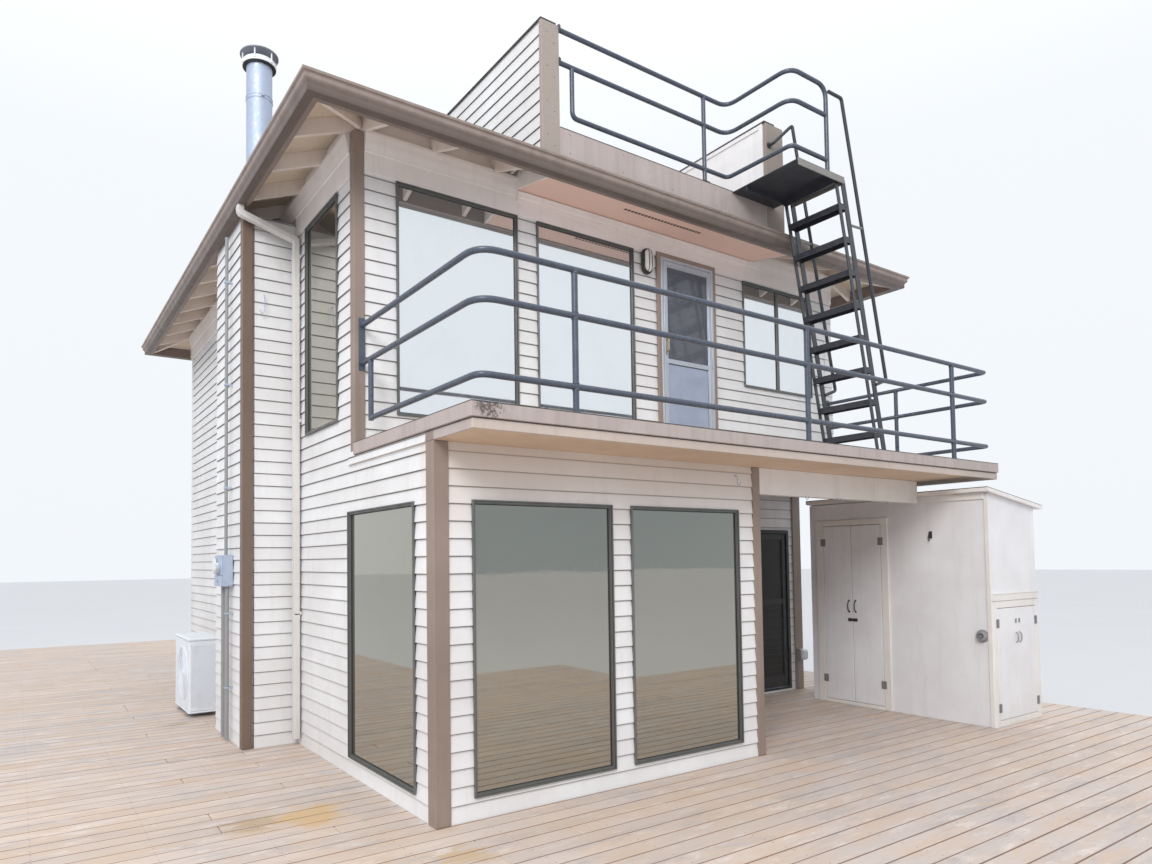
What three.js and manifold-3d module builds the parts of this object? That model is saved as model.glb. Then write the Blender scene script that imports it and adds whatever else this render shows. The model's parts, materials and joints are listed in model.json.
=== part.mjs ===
// Two-storey floating home on a log float, with a balcony, a roof deck and a lean-to shed.
// Millimetres, +Z up. X runs along the front wall, Y goes from the front deck to the back.
// House measures count siding courses: COURSE is one lap board's exposure.

import * as THREE from 'three';
import { mergeVertices } from 'three/addons/utils/BufferGeometryUtils.js';
import Module from 'manifold-3d';

const wasm = await Module();
wasm.setup();

const COURSE = 114.3;
const c = (n) => Math.round(n * COURSE);

// Float and deck
const DECK_X0 = c(-26);
const DECK_X1 = c(66);
const DECK_Y0 = c(-48.6);
const DECK_Y1 = c(125.2);
const SLIP_X = c(44.5);
const SLIP_Y = c(-34);
const PLANK_T = 38;
const JOIST_H = 140;
const JOIST_T = 38;
const JOIST_PITCH = 610;
const RIM_T = 45;
const RIM_H = 330;
const STRINGER_H = 200;
const STRINGER_W = 240;
const LOG_D = 700;
const LOG_SINK = 30;
const LOG_COUNT = 12;
const LOG_SIDES = 10;
const LOG_INSET = 60;
const STRINGER_ROWS = 7;
const STRINGER_INSET = 500;
const STRINGER_TOP = -PLANK_T - JOIST_H;
const LOG_TOP = STRINGER_TOP - STRINGER_H + LOG_SINK;
const FLOAT_BOTTOM = LOG_TOP - LOG_D;

// Walls
const WALL = 140;
const LAP = 12;
const HOUSE_X1 = c(54.4);
const HOUSE_Y1 = c(70.7);
const UPPER_Y0 = c(11.8);
const PORCH_Y = c(16.6);
const PORCH_POST_W = 92;
const BEAM = [c(49.3), 86, c(19.5)];
const ROOM_X1 = 3048;
const SOFFIT_Z = c(21.5);
const BALCONY_Z = 2600;
const WALL_TOP = 5150;
const POST = 103;
const UPPER_POST = 82;
const PROUD = 8;
const CHASE_X = c(-4.36);
const CHASE_Y0 = c(24.8);
const CHASE_Y1 = c(34.67);
const CHASE_TOP = 4926;
const CHASE_T = 90;

// Openings: along the wall from, to, then heights
const FRONT_1 = [c(2.44), c(12.87), c(1.29), c(18.2)];
const FRONT_2 = [c(14.53), c(24.97), c(1.29), c(18.2)];
const LEFT_LOW = [c(2.57), c(13.08), c(1.29), c(18.2)];
const LEFT_TALL = [c(15.2), c(22.4), c(25), c(41.8)];
const UPPER_1 = [c(3.16), c(13.54), c(25.2), c(42.1)];
const UPPER_2 = [c(15.47), c(25.8), c(25.2), c(42.1)];
const UPPER_3 = [c(40.2), c(50.7), c(31.55), c(42)];
const STORM = [c(28.95), c(35.7), c(24.1), c(42.05)];
const STORM_CASING = [c(28.53), c(36.1), c(42.45)];
const SLIDER = [4180, 6010, 25, c(17.7)];
const REAR_DOOR = [c(10), c(18), 25, c(17.8)];
const REAR_JAMB = 30;
const REAR_SILL = 20;
const REAR_WINDOW = [c(28), c(42), c(29), c(41.8)];
const RIGHT_WINDOW = [c(34), c(46), c(29), c(41.8)];

// Balcony
const BALCONY_X0 = -6;
const BALCONY_X1 = c(54.55);
const BALCONY_Y0 = c(-4.45);
const CURB_OUT = 17;
const CURB_Z0 = c(22.1);
const CURB_Z1 = c(22.93);
const RAIL_R = 21;
const RAIL_Y = c(-4.2);
const RAIL_X0 = c(0.5);
const RAIL_X1 = c(53.5);
const RAIL_Z = [c(24.45), c(28.5), c(31.15)];
const RAIL_POSTS = [c(6.85), c(27.8), c(47.7)];
const SIDE_POST_Y = c(10.2);
const RIGHT_POST_Y = c(4.2);
const RAIL_BEND = 160;
const RAIL_BEND_LOW = 90;

// Roof
const SLOPE = 0.4;
const OVERHANG = c(4.5);
const FRONT_OVERHANG = c(4.85);
const EAVE_X0 = -OVERHANG;
const EAVE_X1 = HOUSE_X1 + OVERHANG;
const EAVE_Y0 = UPPER_Y0 - FRONT_OVERHANG;
const EAVE_Y1 = HOUSE_Y1 + OVERHANG;
const RAFTER_Z0 = WALL_TOP - Math.round(OVERHANG * SLOPE);
const RAFTER_H = 130;
const RAFTER_T = 38;
const RAFTER_PITCH = 610;
const RAFTER_COUNT = 11;
const FIRST_RAFTER_X = 61;
const FIRST_TRUSS_Y = 1381;
const SKIRT = 680;
const FASCIA_T = 38;
const SHEET_T = 25;
const ROOF_FLAT = RAFTER_Z0 + RAFTER_H + SKIRT * SLOPE;
const SHEET_GAP = 1;
const ROOF_FOOT = 4800;
const ROOF_TOP = ROOF_FLAT + SHEET_GAP + SHEET_T;
const CLOSED_SOFFIT = [c(13.5), c(41.25)];
const SOFFIT_RISE = [7, 99];
const SOFFIT_T = 12;
const GUTTER_TOP = RAFTER_Z0 + RAFTER_H + 7;
const GUTTER_H = 138;
const SPOUT_HALF = [30, 40];
const FLUE_X = c(-1.85);
const FLUE_Y = c(29.7);
const FLUE_R = 128;
const FLUE_TOP = 6755;

// Roof deck and ladder
const TERRACE_X0 = c(12.75);
const TERRACE_X1 = c(40.6);
const TERRACE_Y0 = c(7.0);
const TERRACE_Y1 = c(30);
const TERRACE_CURB = c(47.3);
const TERRACE_WALL = c(55.2);
const RIGHT_WALL_X = c(38.15);
const SCREEN_POST = 188;
const SCREEN_T = 38;
const LOW_RAIL_X = c(15.7);
const RAIL_MID_X = c(30.1);
const RAIL_STEP_X = [c(33), c(33.2)];
const PLATFORM = [c(33.4), 4530, c(0.16), TERRACE_Y0];
const PLATFORM_Z = c(47.22);
const PLATE_T = 12;
const HEADER_X = 4385;
const HEADER_H = 78;
const LADDER_TOP_X = c(39.4);
const LADDER_RUN = 0.2205;
const LADDER_Y = [40, 620];
const BAR_T = 10;
const SIDE_BARS = [[-98, -53], [3, 72]];
const TREADS = 8;
const TREAD_TOP = c(45.1);
const TREAD_RISE = 316;
const TREAD_X = [-66, 50];
const TREAD_H = 60;
const TREAD_T = 6;
const HAND_R = 17;
const HAND_BEND = 30;
const HAND_END = 3480;
const HAND_BACK = 3410;
const HAND_LEAN = 0.2285;
const HAND_TOP = 6222;
const HAND_TOP_X = 4572;
const HAND_BRACKET_Z = [4965, 5010];
const BACK_HAND_X = c(38.6);
const BACK_HAND_Z = [6055, 6235, 5926];
const RAIL_END_X = c(37.9);

// Shed
const SHED_X0 = c(50);
const SHED_X1 = c(58.4);
const SHED_Y0 = c(-5.65);
const SHED_Y1 = c(11.9);
const SHED_T = 45;
const SHED_Z_LEFT = c(20.05);
const SHED_Z_RIGHT = c(18.95);
const SHED_DOOR = [c(4.05), c(10.3), 40, c(17.8)];
const LOCKER_DOOR = [c(50.75), c(57.75), 60, c(10.1)];
const SHED_TRIM = 18;
const PANEL_TOP = c(11.3);
const SHED_CASING = [c(3.35), c(11.15), c(18.35)];

// Electric meter on the chase
const METER_Y = 3200;
const METER_W = 300;
const METER_Z = 1465;
const METER_H = 300;
const METER_DEPTH = 110;

// Heat pump on the deck: X, Y and Z from and to
const OUTDOOR_UNIT = [-640, -310, 4650, 5500, 0, 865];

// Hinges and running gaps
const LEAF_GAP = 5;
const SEAT = 0.3;
const KNUCKLE = 30;
const BEND_STEPS = [0, 0.35, 0.65, 1];

const COLORS = {
  siding: 0xe3dcd6,
  brown: 0x6f5d52,
  deck: 0xb79c86,
  timber: 0x6d5a48,
  log: 0x4a3d33,
  steel: 0x59616f,
  black: 0x2c2e33,
  roof: 0x5c5754,
  gutter: 0x8a7466,
  glass: 0x9fb0b4,
  zinc: 0x9aa3ad,
  white: 0xe9e7e4,
};

const house = new THREE.Group();

function solidOf(geometry) {
  const g = geometry.clone();
  g.deleteAttribute('normal');
  g.deleteAttribute('uv');
  const merged = mergeVertices(g, 1e-4);
  return new wasm.Manifold(new wasm.Mesh({
    numProp: 3,
    vertProperties: Float32Array.from(merged.attributes.position.array),
    triVerts: Uint32Array.from(merged.index.array),
  }));
}

function geometryOf(solid) {
  const mesh = solid.getMesh();
  const g = new THREE.BufferGeometry();
  g.setAttribute('position', new THREE.BufferAttribute(Float32Array.from(mesh.vertProperties), 3));
  g.setIndex(new THREE.BufferAttribute(Uint32Array.from(mesh.triVerts), 1));
  g.computeVertexNormals();
  return g;
}

function add(name, solid, color, metalness = 0.0, roughness = 0.7) {
  const material = new THREE.MeshStandardMaterial({
    color: COLORS[color],
    metalness,
    roughness,
    flatShading: true,
  });
  const mesh = new THREE.Mesh(geometryOf(solid), material);
  mesh.name = name;
  house.add(mesh);
}

function box(x0, x1, y0, y1, z0, z1) {
  const g = new THREE.BoxGeometry(x1 - x0, y1 - y0, z1 - z0);
  g.translate((x0 + x1) / 2, (y0 + y1) / 2, (z0 + z1) / 2);
  return solidOf(g);
}

// A polygon in (y, z), (x, z) or (x, y), extruded along the axis left over.
function prism(axis, points, a0, a1) {
  const shape = new THREE.Shape(points.map(([u, v]) => new THREE.Vector2(u, v)));
  const g = new THREE.ExtrudeGeometry(shape, { depth: a1 - a0, bevelEnabled: false });
  const p = g.attributes.position;
  for (let i = 0; i < p.count; i += 1) {
    const [u, v, w] = [p.getX(i), p.getY(i), p.getZ(i)];
    if (axis === 'x') p.setXYZ(i, w + a0, u, v);
    if (axis === 'y') p.setXYZ(i, u, a1 - w, v);
    if (axis === 'z') p.setXYZ(i, u, v, w + a0);
  }
  return solidOf(g);
}

function union(solids) {
  let list = solids;
  while (list.length > 1) {
    const next = [];
    for (let i = 0; i < list.length; i += 2) {
      next.push(i + 1 < list.length ? list[i].add(list[i + 1]) : list[i]);
    }
    list = next;
  }
  return list[0];
}

function cut(solid, tools) {
  return tools.reduce((s, t) => s.subtract(t), solid);
}

function rod(p, q, r, sides = 8) {
  const a = new THREE.Vector3(...p);
  const b = new THREE.Vector3(...q);
  const g = new THREE.CylinderGeometry(r, r, a.distanceTo(b), sides);
  const dir = b.clone().sub(a).normalize();
  g.applyQuaternion(new THREE.Quaternion().setFromUnitVectors(new THREE.Vector3(0, 1, 0), dir));
  g.translate((a.x + b.x) / 2, (a.y + b.y) / 2, (a.z + b.z) / 2);
  return solidOf(g);
}

// Straight runs of pipe with rounded corners, sampled at its corner points only.
class PipeRun extends THREE.Curve {
  constructor(points, bend) {
    super();
    const [first, ...rest] = points.map((p) => new THREE.Vector3(...p));
    this.stations = [first];
    for (let i = 0; i + 1 < rest.length; i += 1) {
      const back = (i ? rest[i - 1] : first).clone().sub(rest[i]);
      const on = rest[i + 1].clone().sub(rest[i]);
      const b = Math.min(bend, back.length() / 2.2, on.length() / 2.2);
      const from = rest[i].clone().add(back.setLength(b));
      const to = rest[i].clone().add(on.setLength(b));
      const corner = new THREE.QuadraticBezierCurve3(from, rest[i], to);
      BEND_STEPS.forEach((t) => this.stations.push(corner.getPoint(t)));
    }
    this.stations.push(rest[rest.length - 1]);
  }

  get last() {
    return this.stations.length - 1;
  }

  getUtoTmapping(u) {
    return u;
  }

  getPoint(t) {
    return this.stations[Math.round(t * this.last)].clone();
  }

  getTangent(t) {
    const i = Math.round(t * this.last);
    const tangent = new THREE.Vector3();
    if (i > 0) tangent.add(this.stations[i].clone().sub(this.stations[i - 1]).normalize());
    if (i < this.last) tangent.add(this.stations[i + 1].clone().sub(this.stations[i]).normalize());
    return tangent.normalize();
  }
}

function pipe(points, r, bend = 0, sides = 8) {
  const run = new PipeRun(points, bend);
  const ring = new THREE.Shape(new THREE.EllipseCurve(0, 0, r, r).getPoints(sides).slice(0, sides));
  return solidOf(new THREE.ExtrudeGeometry(ring, { steps: run.last, extrudePath: run }));
}

// Butt hinges: barrels on the joint's axis and the plates that carry them, [x0, x1, y0, y1] each.
function hingeHalf([x, y], r, plate, heights, spans) {
  return heights.flatMap((z) => spans.flatMap(([a, b]) => [
    rod([x, y, z + a], [x, y, z + b], r, 8),
    box(plate[0], plate[1], plate[2], plate[3], z + a, z + b),
  ]));
}
const leafHinges = (...given) => hingeHalf(...given, [[-KNUCKLE / 2 + SEAT, KNUCKLE / 2 - SEAT]]);
const frameHinges = (...given) => hingeHalf(...given, [
  [-1.5 * KNUCKLE, -KNUCKLE / 2],
  [KNUCKLE / 2, 1.5 * KNUCKLE],
]);

// Lap siding section: thickness t, butt edges on the plane u = 0, body on +u.
function lapProfile(z0, z1, t) {
  const points = [[t, z1], [t, z0], [0, z0]];
  for (let n = Math.floor(z0 / COURSE) + 1; n * COURSE < z1 - 5; n += 1) {
    const z = Math.round(n * COURSE);
    if (z - z0 < 5) continue;
    points.push([LAP, z], [0, z]);
  }
  points.push([LAP, z1]);
  return points;
}

// facing: which way the siding looks. at: its butt plane. a0..a1: run along the wall.
function sidingWall(facing, at, a0, a1, z0, z1, t = WALL) {
  const lap = lapProfile(z0, z1, t);
  if (facing === '-y') return prism('x', lap.map(([u, z]) => [at + u, z]), a0, a1);
  if (facing === '+y') return prism('x', lap.map(([u, z]) => [at - u, z]).reverse(), a0, a1);
  if (facing === '-x') return prism('y', lap.map(([u, z]) => [at + u, z]), a0, a1);
  return prism('y', lap.map(([u, z]) => [at - u, z]).reverse(), a0, a1);
}

const openY = (y0, y1, [x0, x1, z0, z1]) => box(x0, x1, y0, y1, z0, z1);
const openX = (x0, x1, [y0, y1, z0, z1]) => box(x0, x1, y0, y1, z0, z1);

// Float: logs run front to back, stringers lie across them.
const deckOutline = [
  [DECK_X0, DECK_Y0],
  [SLIP_X, DECK_Y0],
  [SLIP_X, SLIP_Y],
  [DECK_X1, SLIP_Y],
  [DECK_X1, DECK_Y1],
  [DECK_X0, DECK_Y1],
];

const floatParts = [];
const logPitch = (DECK_X1 - DECK_X0 - LOG_D - LOG_INSET) / (LOG_COUNT - 1);
for (let i = 0; i < LOG_COUNT; i += 1) {
  const x = DECK_X0 + (LOG_D + LOG_INSET) / 2 + i * logPitch;
  const y0 = x + LOG_D / 2 > SLIP_X ? SLIP_Y + LOG_INSET : DECK_Y0 + LOG_INSET;
  const g = new THREE.CylinderGeometry(LOG_D / 2 / Math.cos(Math.PI / LOG_SIDES),
    LOG_D / 2 / Math.cos(Math.PI / LOG_SIDES), DECK_Y1 - LOG_INSET - y0, LOG_SIDES);
  g.rotateY(Math.PI / LOG_SIDES);
  g.translate(x, (y0 + DECK_Y1 - LOG_INSET) / 2, LOG_TOP - LOG_D / 2);
  floatParts.push(solidOf(g));
}
for (let i = 0; i < STRINGER_ROWS; i += 1) {
  const y = DECK_Y0 + STRINGER_INSET
    + (i * (DECK_Y1 - DECK_Y0 - 2 * STRINGER_INSET)) / (STRINGER_ROWS - 1);
  const x1 = y < SLIP_Y + 200 ? SLIP_X - RIM_T : DECK_X1 - RIM_T;
  floatParts.push(box(DECK_X0 + RIM_T, x1, y - STRINGER_W / 2, y + STRINGER_W / 2,
    STRINGER_TOP - STRINGER_H, STRINGER_TOP));
}
add('float_logs', union(floatParts), 'log');

// Joists with the rim board round the edge
const inset = (d) => [
  [DECK_X0 + d, DECK_Y0 + d],
  [SLIP_X - d, DECK_Y0 + d],
  [SLIP_X - d, SLIP_Y + d],
  [DECK_X1 - d, SLIP_Y + d],
  [DECK_X1 - d, DECK_Y1 - d],
  [DECK_X0 + d, DECK_Y1 - d],
];
let frame = prism('z', deckOutline, -PLANK_T - RIM_H, -PLANK_T);
frame = frame.subtract(prism('z', inset(RIM_T), -PLANK_T - RIM_H - 10, -PLANK_T + 10));
const joists = [];
for (let x = DECK_X0 + JOIST_PITCH; x < DECK_X1 - 200; x += JOIST_PITCH) {
  const y0 = x + JOIST_T > SLIP_X - RIM_T ? SLIP_Y + 10 : DECK_Y0 + 10;
  joists.push(box(x, x + JOIST_T, y0, DECK_Y1 - 10, STRINGER_TOP, -PLANK_T - 1));
}
add('deck_frame', union([frame, ...joists]), 'timber');
add('deck_boards', prism('z', deckOutline, -PLANK_T, 0), 'deck');

// Walls of the front room
add('lower_front_wall', cut(sidingWall('-y', 0, POST, ROOM_X1, 0, SOFFIT_Z), [
  openY(-50, WALL + 50, FRONT_1),
  openY(-50, WALL + 50, FRONT_2),
]), 'siding');
add('front_corner_post', box(-PROUD, POST, -PROUD, POST, 0, SOFFIT_Z), 'brown');
add('porch_post', box(ROOM_X1, ROOM_X1 + PORCH_POST_W, -6, 86, 0, SOFFIT_Z), 'brown');

// The left wall: one storey under the balcony, then two
const LEFT_END = HOUSE_Y1 - WALL;
const leftLow = sidingWall('-x', 0, POST, LEFT_END, 0, WALL_TOP);
add('left_wall', cut(leftLow, [
  box(-50, WALL + 50, 0, UPPER_Y0 + UPPER_POST, SOFFIT_Z, WALL_TOP + 50),
  box(-50, WALL + 50, 0, UPPER_Y0 + WALL, SOFFIT_Z, BALCONY_Z),
  box(UPPER_POST, WALL + 50, 0, UPPER_Y0 + WALL, BALCONY_Z - 10, WALL_TOP + 50),
  box(POST, WALL + 50, 0, WALL, -10, SOFFIT_Z + 10),
  openX(-50, WALL + 50, LEFT_LOW),
  openX(-50, WALL + 50, LEFT_TALL),
]), 'siding');
add('upper_corner_post', box(-PROUD, UPPER_POST, UPPER_Y0 - PROUD, UPPER_Y0 + UPPER_POST,
  BALCONY_Z, WALL_TOP - PROUD / 2), 'brown');

// Chimney chase
const chaseWalls = [
  sidingWall('-y', CHASE_Y0, CHASE_X + POST, 0, 0, CHASE_TOP, CHASE_T),
  sidingWall('-x', CHASE_X, CHASE_Y0 + POST, CHASE_Y1, 0, CHASE_TOP, CHASE_T),
  sidingWall('+y', CHASE_Y1, CHASE_X + 50, 0, 0, CHASE_TOP, CHASE_T),
  box(CHASE_X + 50, 0, CHASE_Y0 + 50, CHASE_Y1 - 50, CHASE_TOP - 25, CHASE_TOP),
  box(CHASE_X + POST - 20, CHASE_X + POST, CHASE_Y0 + 40, CHASE_Y0 + POST, 0, CHASE_TOP),
  box(CHASE_X + 40, CHASE_X + POST, CHASE_Y0 + POST - 20, CHASE_Y0 + POST, 0, CHASE_TOP),
];
const flueHole = (r, z0, z1) => {
  const g = new THREE.CylinderGeometry(r, r, z1 - z0, 24);
  g.rotateX(Math.PI / 2);
  g.translate(FLUE_X, FLUE_Y, (z0 + z1) / 2);
  return solidOf(g);
};
const chaseCornerTool = box(CHASE_X - 50, CHASE_X + POST - 20, CHASE_Y0 - 50,
  CHASE_Y0 + POST - 20, -10, CHASE_TOP + 10);
add('chimney_chase', cut(union(chaseWalls), [
  flueHole(FLUE_R + 1, CHASE_TOP - 60, CHASE_TOP + 10),
  chaseCornerTool,
]), 'siding');
add('chase_corner_post', box(CHASE_X - PROUD, CHASE_X + POST - 20, CHASE_Y0 - PROUD,
  CHASE_Y0 + POST - 20, 0, CHASE_TOP), 'brown');

// Rear and right walls
const rearHole = [REAR_DOOR[0] - REAR_JAMB, REAR_DOOR[1] + REAR_JAMB,
  REAR_DOOR[2] - REAR_SILL, REAR_DOOR[3] + REAR_JAMB];
add('rear_wall', cut(sidingWall('+y', HOUSE_Y1, 0, HOUSE_X1, 0, WALL_TOP), [
  openY(HOUSE_Y1 - WALL - 50, HOUSE_Y1 + 50, rearHole),
  openY(HOUSE_Y1 - WALL - 50, HOUSE_Y1 + 50, REAR_WINDOW),
]), 'siding');
add('right_wall', cut(sidingWall('+x', HOUSE_X1, UPPER_Y0, LEFT_END, 0, WALL_TOP), [
  box(HOUSE_X1 - WALL - 50, HOUSE_X1 + 50, UPPER_Y0 - 50, PORCH_Y, -10, SOFFIT_Z),
  box(HOUSE_X1 - WALL - 50, HOUSE_X1 + 50, UPPER_Y0 - 50, UPPER_Y0 + WALL, SOFFIT_Z - 10, BALCONY_Z),
  openX(HOUSE_X1 - WALL - 50, HOUSE_X1 + 50, RIGHT_WINDOW),
]), 'siding');

// Upper front wall and the walls of the porch
add('upper_front_wall', cut(
  sidingWall('-y', UPPER_Y0, UPPER_POST, HOUSE_X1 - WALL, BALCONY_Z, WALL_TOP), [
    openY(UPPER_Y0 - 50, UPPER_Y0 + WALL + 50, UPPER_1),
    openY(UPPER_Y0 - 50, UPPER_Y0 + WALL + 50, UPPER_2),
    openY(UPPER_Y0 - 50, UPPER_Y0 + WALL + 50, UPPER_3),
    openY(UPPER_Y0 - 50, UPPER_Y0 + WALL + 50, STORM),
  ]), 'siding');
add('porch_side_wall', sidingWall('+x', ROOM_X1, WALL, PORCH_Y, 0, SOFFIT_Z), 'siding');
add('porch_back_wall', cut(
  sidingWall('-y', PORCH_Y, ROOM_X1 - WALL, HOUSE_X1 - WALL, 0, SOFFIT_Z), [
    openY(PORCH_Y - 50, PORCH_Y + WALL + 50, SLIDER),
  ]), 'siding');
add('porch_beam', box(ROOM_X1 + PORCH_POST_W, BEAM[0], 0, BEAM[1], BEAM[2], SOFFIT_Z), 'siding');

// Floors
const slab = union([
  box(0, HOUSE_X1, BALCONY_Y0, UPPER_Y0 + WALL, SOFFIT_Z, BALCONY_Z),
  box(BALCONY_X0 - CURB_OUT, BALCONY_X1, BALCONY_Y0 - CURB_OUT, BALCONY_Y0 + 38, CURB_Z0, CURB_Z1),
  box(BALCONY_X0 - CURB_OUT, 38, BALCONY_Y0 - CURB_OUT, UPPER_Y0 - PROUD, CURB_Z0, CURB_Z1),
  box(HOUSE_X1 - 38, BALCONY_X1, BALCONY_Y0 - CURB_OUT, UPPER_Y0 - PROUD, CURB_Z0, CURB_Z1),
]);
add('balcony_floor', slab, 'siding');
add('upper_floor', box(WALL, HOUSE_X1 - WALL, UPPER_Y0 + WALL, LEFT_END, SOFFIT_Z, BALCONY_Z), 'timber');

// Balcony rail: three pipes on posts, round three sides
const balconyRail = RAIL_Z.map((z, i) => pipe([
  [RAIL_X0, i ? UPPER_Y0 - PROUD : SIDE_POST_Y, z],
  [RAIL_X0, RAIL_Y, z],
  [RAIL_X1, RAIL_Y, z],
  [RAIL_X1, UPPER_Y0, z],
], RAIL_R, i ? RAIL_BEND : RAIL_BEND_LOW));
RAIL_POSTS.forEach((x) => balconyRail.push(rod([x, RAIL_Y, CURB_Z1], [x, RAIL_Y, RAIL_Z[2]], RAIL_R)));
balconyRail.push(rod([RAIL_X0, SIDE_POST_Y, RAIL_Z[0] - RAIL_R], [RAIL_X0, SIDE_POST_Y, RAIL_Z[1]], RAIL_R));
balconyRail.push(rod([RAIL_X1, RIGHT_POST_Y, BALCONY_Z], [RAIL_X1, RIGHT_POST_Y, RAIL_Z[2]], RAIL_R));
add('balcony_rail', union(balconyRail), 'steel', 0.6, 0.5);

// Roof frame: trusses across, rafter tails front and back, hips, fascia, closed soffit
const truss = [
  [EAVE_X0, RAFTER_Z0],
  [0, WALL_TOP],
  [HOUSE_X1, WALL_TOP],
  [EAVE_X1, RAFTER_Z0],
  [EAVE_X1, ROOF_FLAT],
  [EAVE_X0, ROOF_FLAT],
];
const tailFront = [
  [EAVE_Y0, RAFTER_Z0],
  [UPPER_Y0, WALL_TOP],
  [EAVE_Y0 + SKIRT, WALL_TOP],
  [EAVE_Y0 + SKIRT, ROOF_FLAT],
  [EAVE_Y0, ROOF_FLAT],
];
const tailRear = [
  [EAVE_Y1, RAFTER_Z0],
  [EAVE_Y1, ROOF_FLAT],
  [EAVE_Y1 - SKIRT, ROOF_FLAT],
  [EAVE_Y1 - SKIRT, WALL_TOP],
  [HOUSE_Y1, WALL_TOP],
];
const roofParts = [prism('y', truss, HOUSE_Y1 - RAFTER_T, HOUSE_Y1)];
for (let i = 0; i < RAFTER_COUNT; i += 1) {
  const x = FIRST_RAFTER_X + i * RAFTER_PITCH;
  const y = FIRST_TRUSS_Y + i * RAFTER_PITCH;
  roofParts.push(prism('y', truss, y, y + RAFTER_T), prism('x', tailRear, x, x + RAFTER_T));
  const open = x < CLOSED_SOFFIT[0] || x > CLOSED_SOFFIT[1];
  if (open) roofParts.push(prism('x', tailFront, x, x + RAFTER_T));
}
// Hip rafters run at 45 degrees from each eave corner.
const hip = (cx, cy, sx, sy) => {
  const diag = Math.SQRT2;
  const shape = [
    [12, RAFTER_Z0 + 4],
    [OVERHANG * diag, WALL_TOP + 4],
    [(SKIRT + 8) * diag, WALL_TOP + 4],
    [(SKIRT + 8) * diag, ROOF_FLAT - 8],
    [12, RAFTER_Z0 + RAFTER_H - 8],
  ];
  const g = new THREE.ExtrudeGeometry(
    new THREE.Shape(shape.map(([u, v]) => new THREE.Vector2(u, v))),
    { depth: RAFTER_T, bevelEnabled: false },
  );
  g.translate(0, 0, -RAFTER_T / 2);
  g.rotateX(Math.PI / 2);
  g.rotateZ(Math.atan2(sy, sx));
  g.translate(cx, cy, 0);
  return solidOf(g);
};
roofParts.push(hip(EAVE_X0, EAVE_Y0, 1, 1));
roofParts.push(hip(EAVE_X1, EAVE_Y0, -1, 1));
roofParts.push(hip(EAVE_X0, EAVE_Y1, 1, -1));
roofParts.push(hip(EAVE_X1, EAVE_Y1, -1, -1));
const fascia = box(EAVE_X0, EAVE_X1, EAVE_Y0, EAVE_Y1, RAFTER_Z0, RAFTER_Z0 + RAFTER_H)
  .subtract(box(EAVE_X0 + FASCIA_T, EAVE_X1 - FASCIA_T, EAVE_Y0 + FASCIA_T, EAVE_Y1 - FASCIA_T,
    RAFTER_Z0 - 10, RAFTER_Z0 + RAFTER_H + 10));
roofParts.push(fascia);
roofParts.push(prism('x', [
  [EAVE_Y0 + FASCIA_T - 2, RAFTER_Z0 + SOFFIT_RISE[0]],
  [UPPER_Y0 - 2, RAFTER_Z0 + SOFFIT_RISE[1]],
  [UPPER_Y0 - 2, RAFTER_Z0 + SOFFIT_RISE[1] + SOFFIT_T],
  [EAVE_Y0 + FASCIA_T - 2, RAFTER_Z0 + SOFFIT_RISE[0] + SOFFIT_T],
], ...CLOSED_SOFFIT));
// The roof's planes: two crossed profiles, raised by lift and spread by grow along the slopes.
const roofBody = (lift, grow) => {
  const profile = (a0, a1) => [
    [a0 - grow, ROOF_FOOT],
    [a1 + grow, ROOF_FOOT],
    [a1 + grow, RAFTER_Z0 + RAFTER_H + lift - grow * SLOPE],
    [a1 - SKIRT, ROOF_FLAT + lift],
    [a0 + SKIRT, ROOF_FLAT + lift],
    [a0 - grow, RAFTER_Z0 + RAFTER_H + lift - grow * SLOPE],
  ];
  const across = prism('y', profile(EAVE_X0, EAVE_X1), EAVE_Y0 - grow, EAVE_Y1 + grow);
  return across.intersect(prism('x', profile(EAVE_Y0, EAVE_Y1), EAVE_X0 - grow, EAVE_X1 + grow));
};
add('roof_frame', cut(union(roofParts).intersect(roofBody(0, 0)), [
  flueHole(FLUE_R + 40, RAFTER_Z0 - 50, ROOF_TOP + 50),
]), 'siding');

// Roof sheet: low slopes up from the eaves to a flat top
add('roof_sheet', cut(roofBody(SHEET_GAP + SHEET_T, 0), [
  roofBody(SHEET_GAP, 20),
  flueHole(FLUE_R + 4, RAFTER_Z0 - 50, ROOF_TOP + 50),
  box(EAVE_X0 - 10, EAVE_X1 + 10, EAVE_Y0 - 10, EAVE_Y1 + 10, ROOF_FOOT - 10, RAFTER_Z0 + RAFTER_H - 20),
]), 'roof');

// Gutter: one channel section carried round the four eaves
const gutterSection = [
  [0, 0], [62, 0], [70, 14], [70, 44], [96, 78], [96, 112], [112, 118], [112, 138],
  [108, 138], [108, 121], [92, 115], [92, 80], [66, 46], [66, 15], [60, 4], [4, 4], [4, 138], [0, 138],
];
// A four-sided lathe whose corners are moved out to the eaves' corners.
const gutterRing = () => {
  const section = gutterSection.map(([u, z]) => new THREE.Vector2(
    (u + 1) * Math.SQRT2, GUTTER_TOP - GUTTER_H + z));
  const g = new THREE.LatheGeometry([...section, section[0]], 4, Math.PI / 4);
  g.rotateX(Math.PI / 2);
  const p = g.attributes.position;
  for (let i = 0; i < p.count; i += 1) {
    p.setX(i, p.getX(i) > 0 ? EAVE_X1 + p.getX(i) - 1 : EAVE_X0 + p.getX(i) + 1);
    p.setY(i, p.getY(i) > 0 ? EAVE_Y1 + p.getY(i) - 1 : EAVE_Y0 + p.getY(i) + 1);
  }
  return solidOf(g);
};
add('gutter', gutterRing(), 'gutter', 0.3, 0.5);

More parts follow.
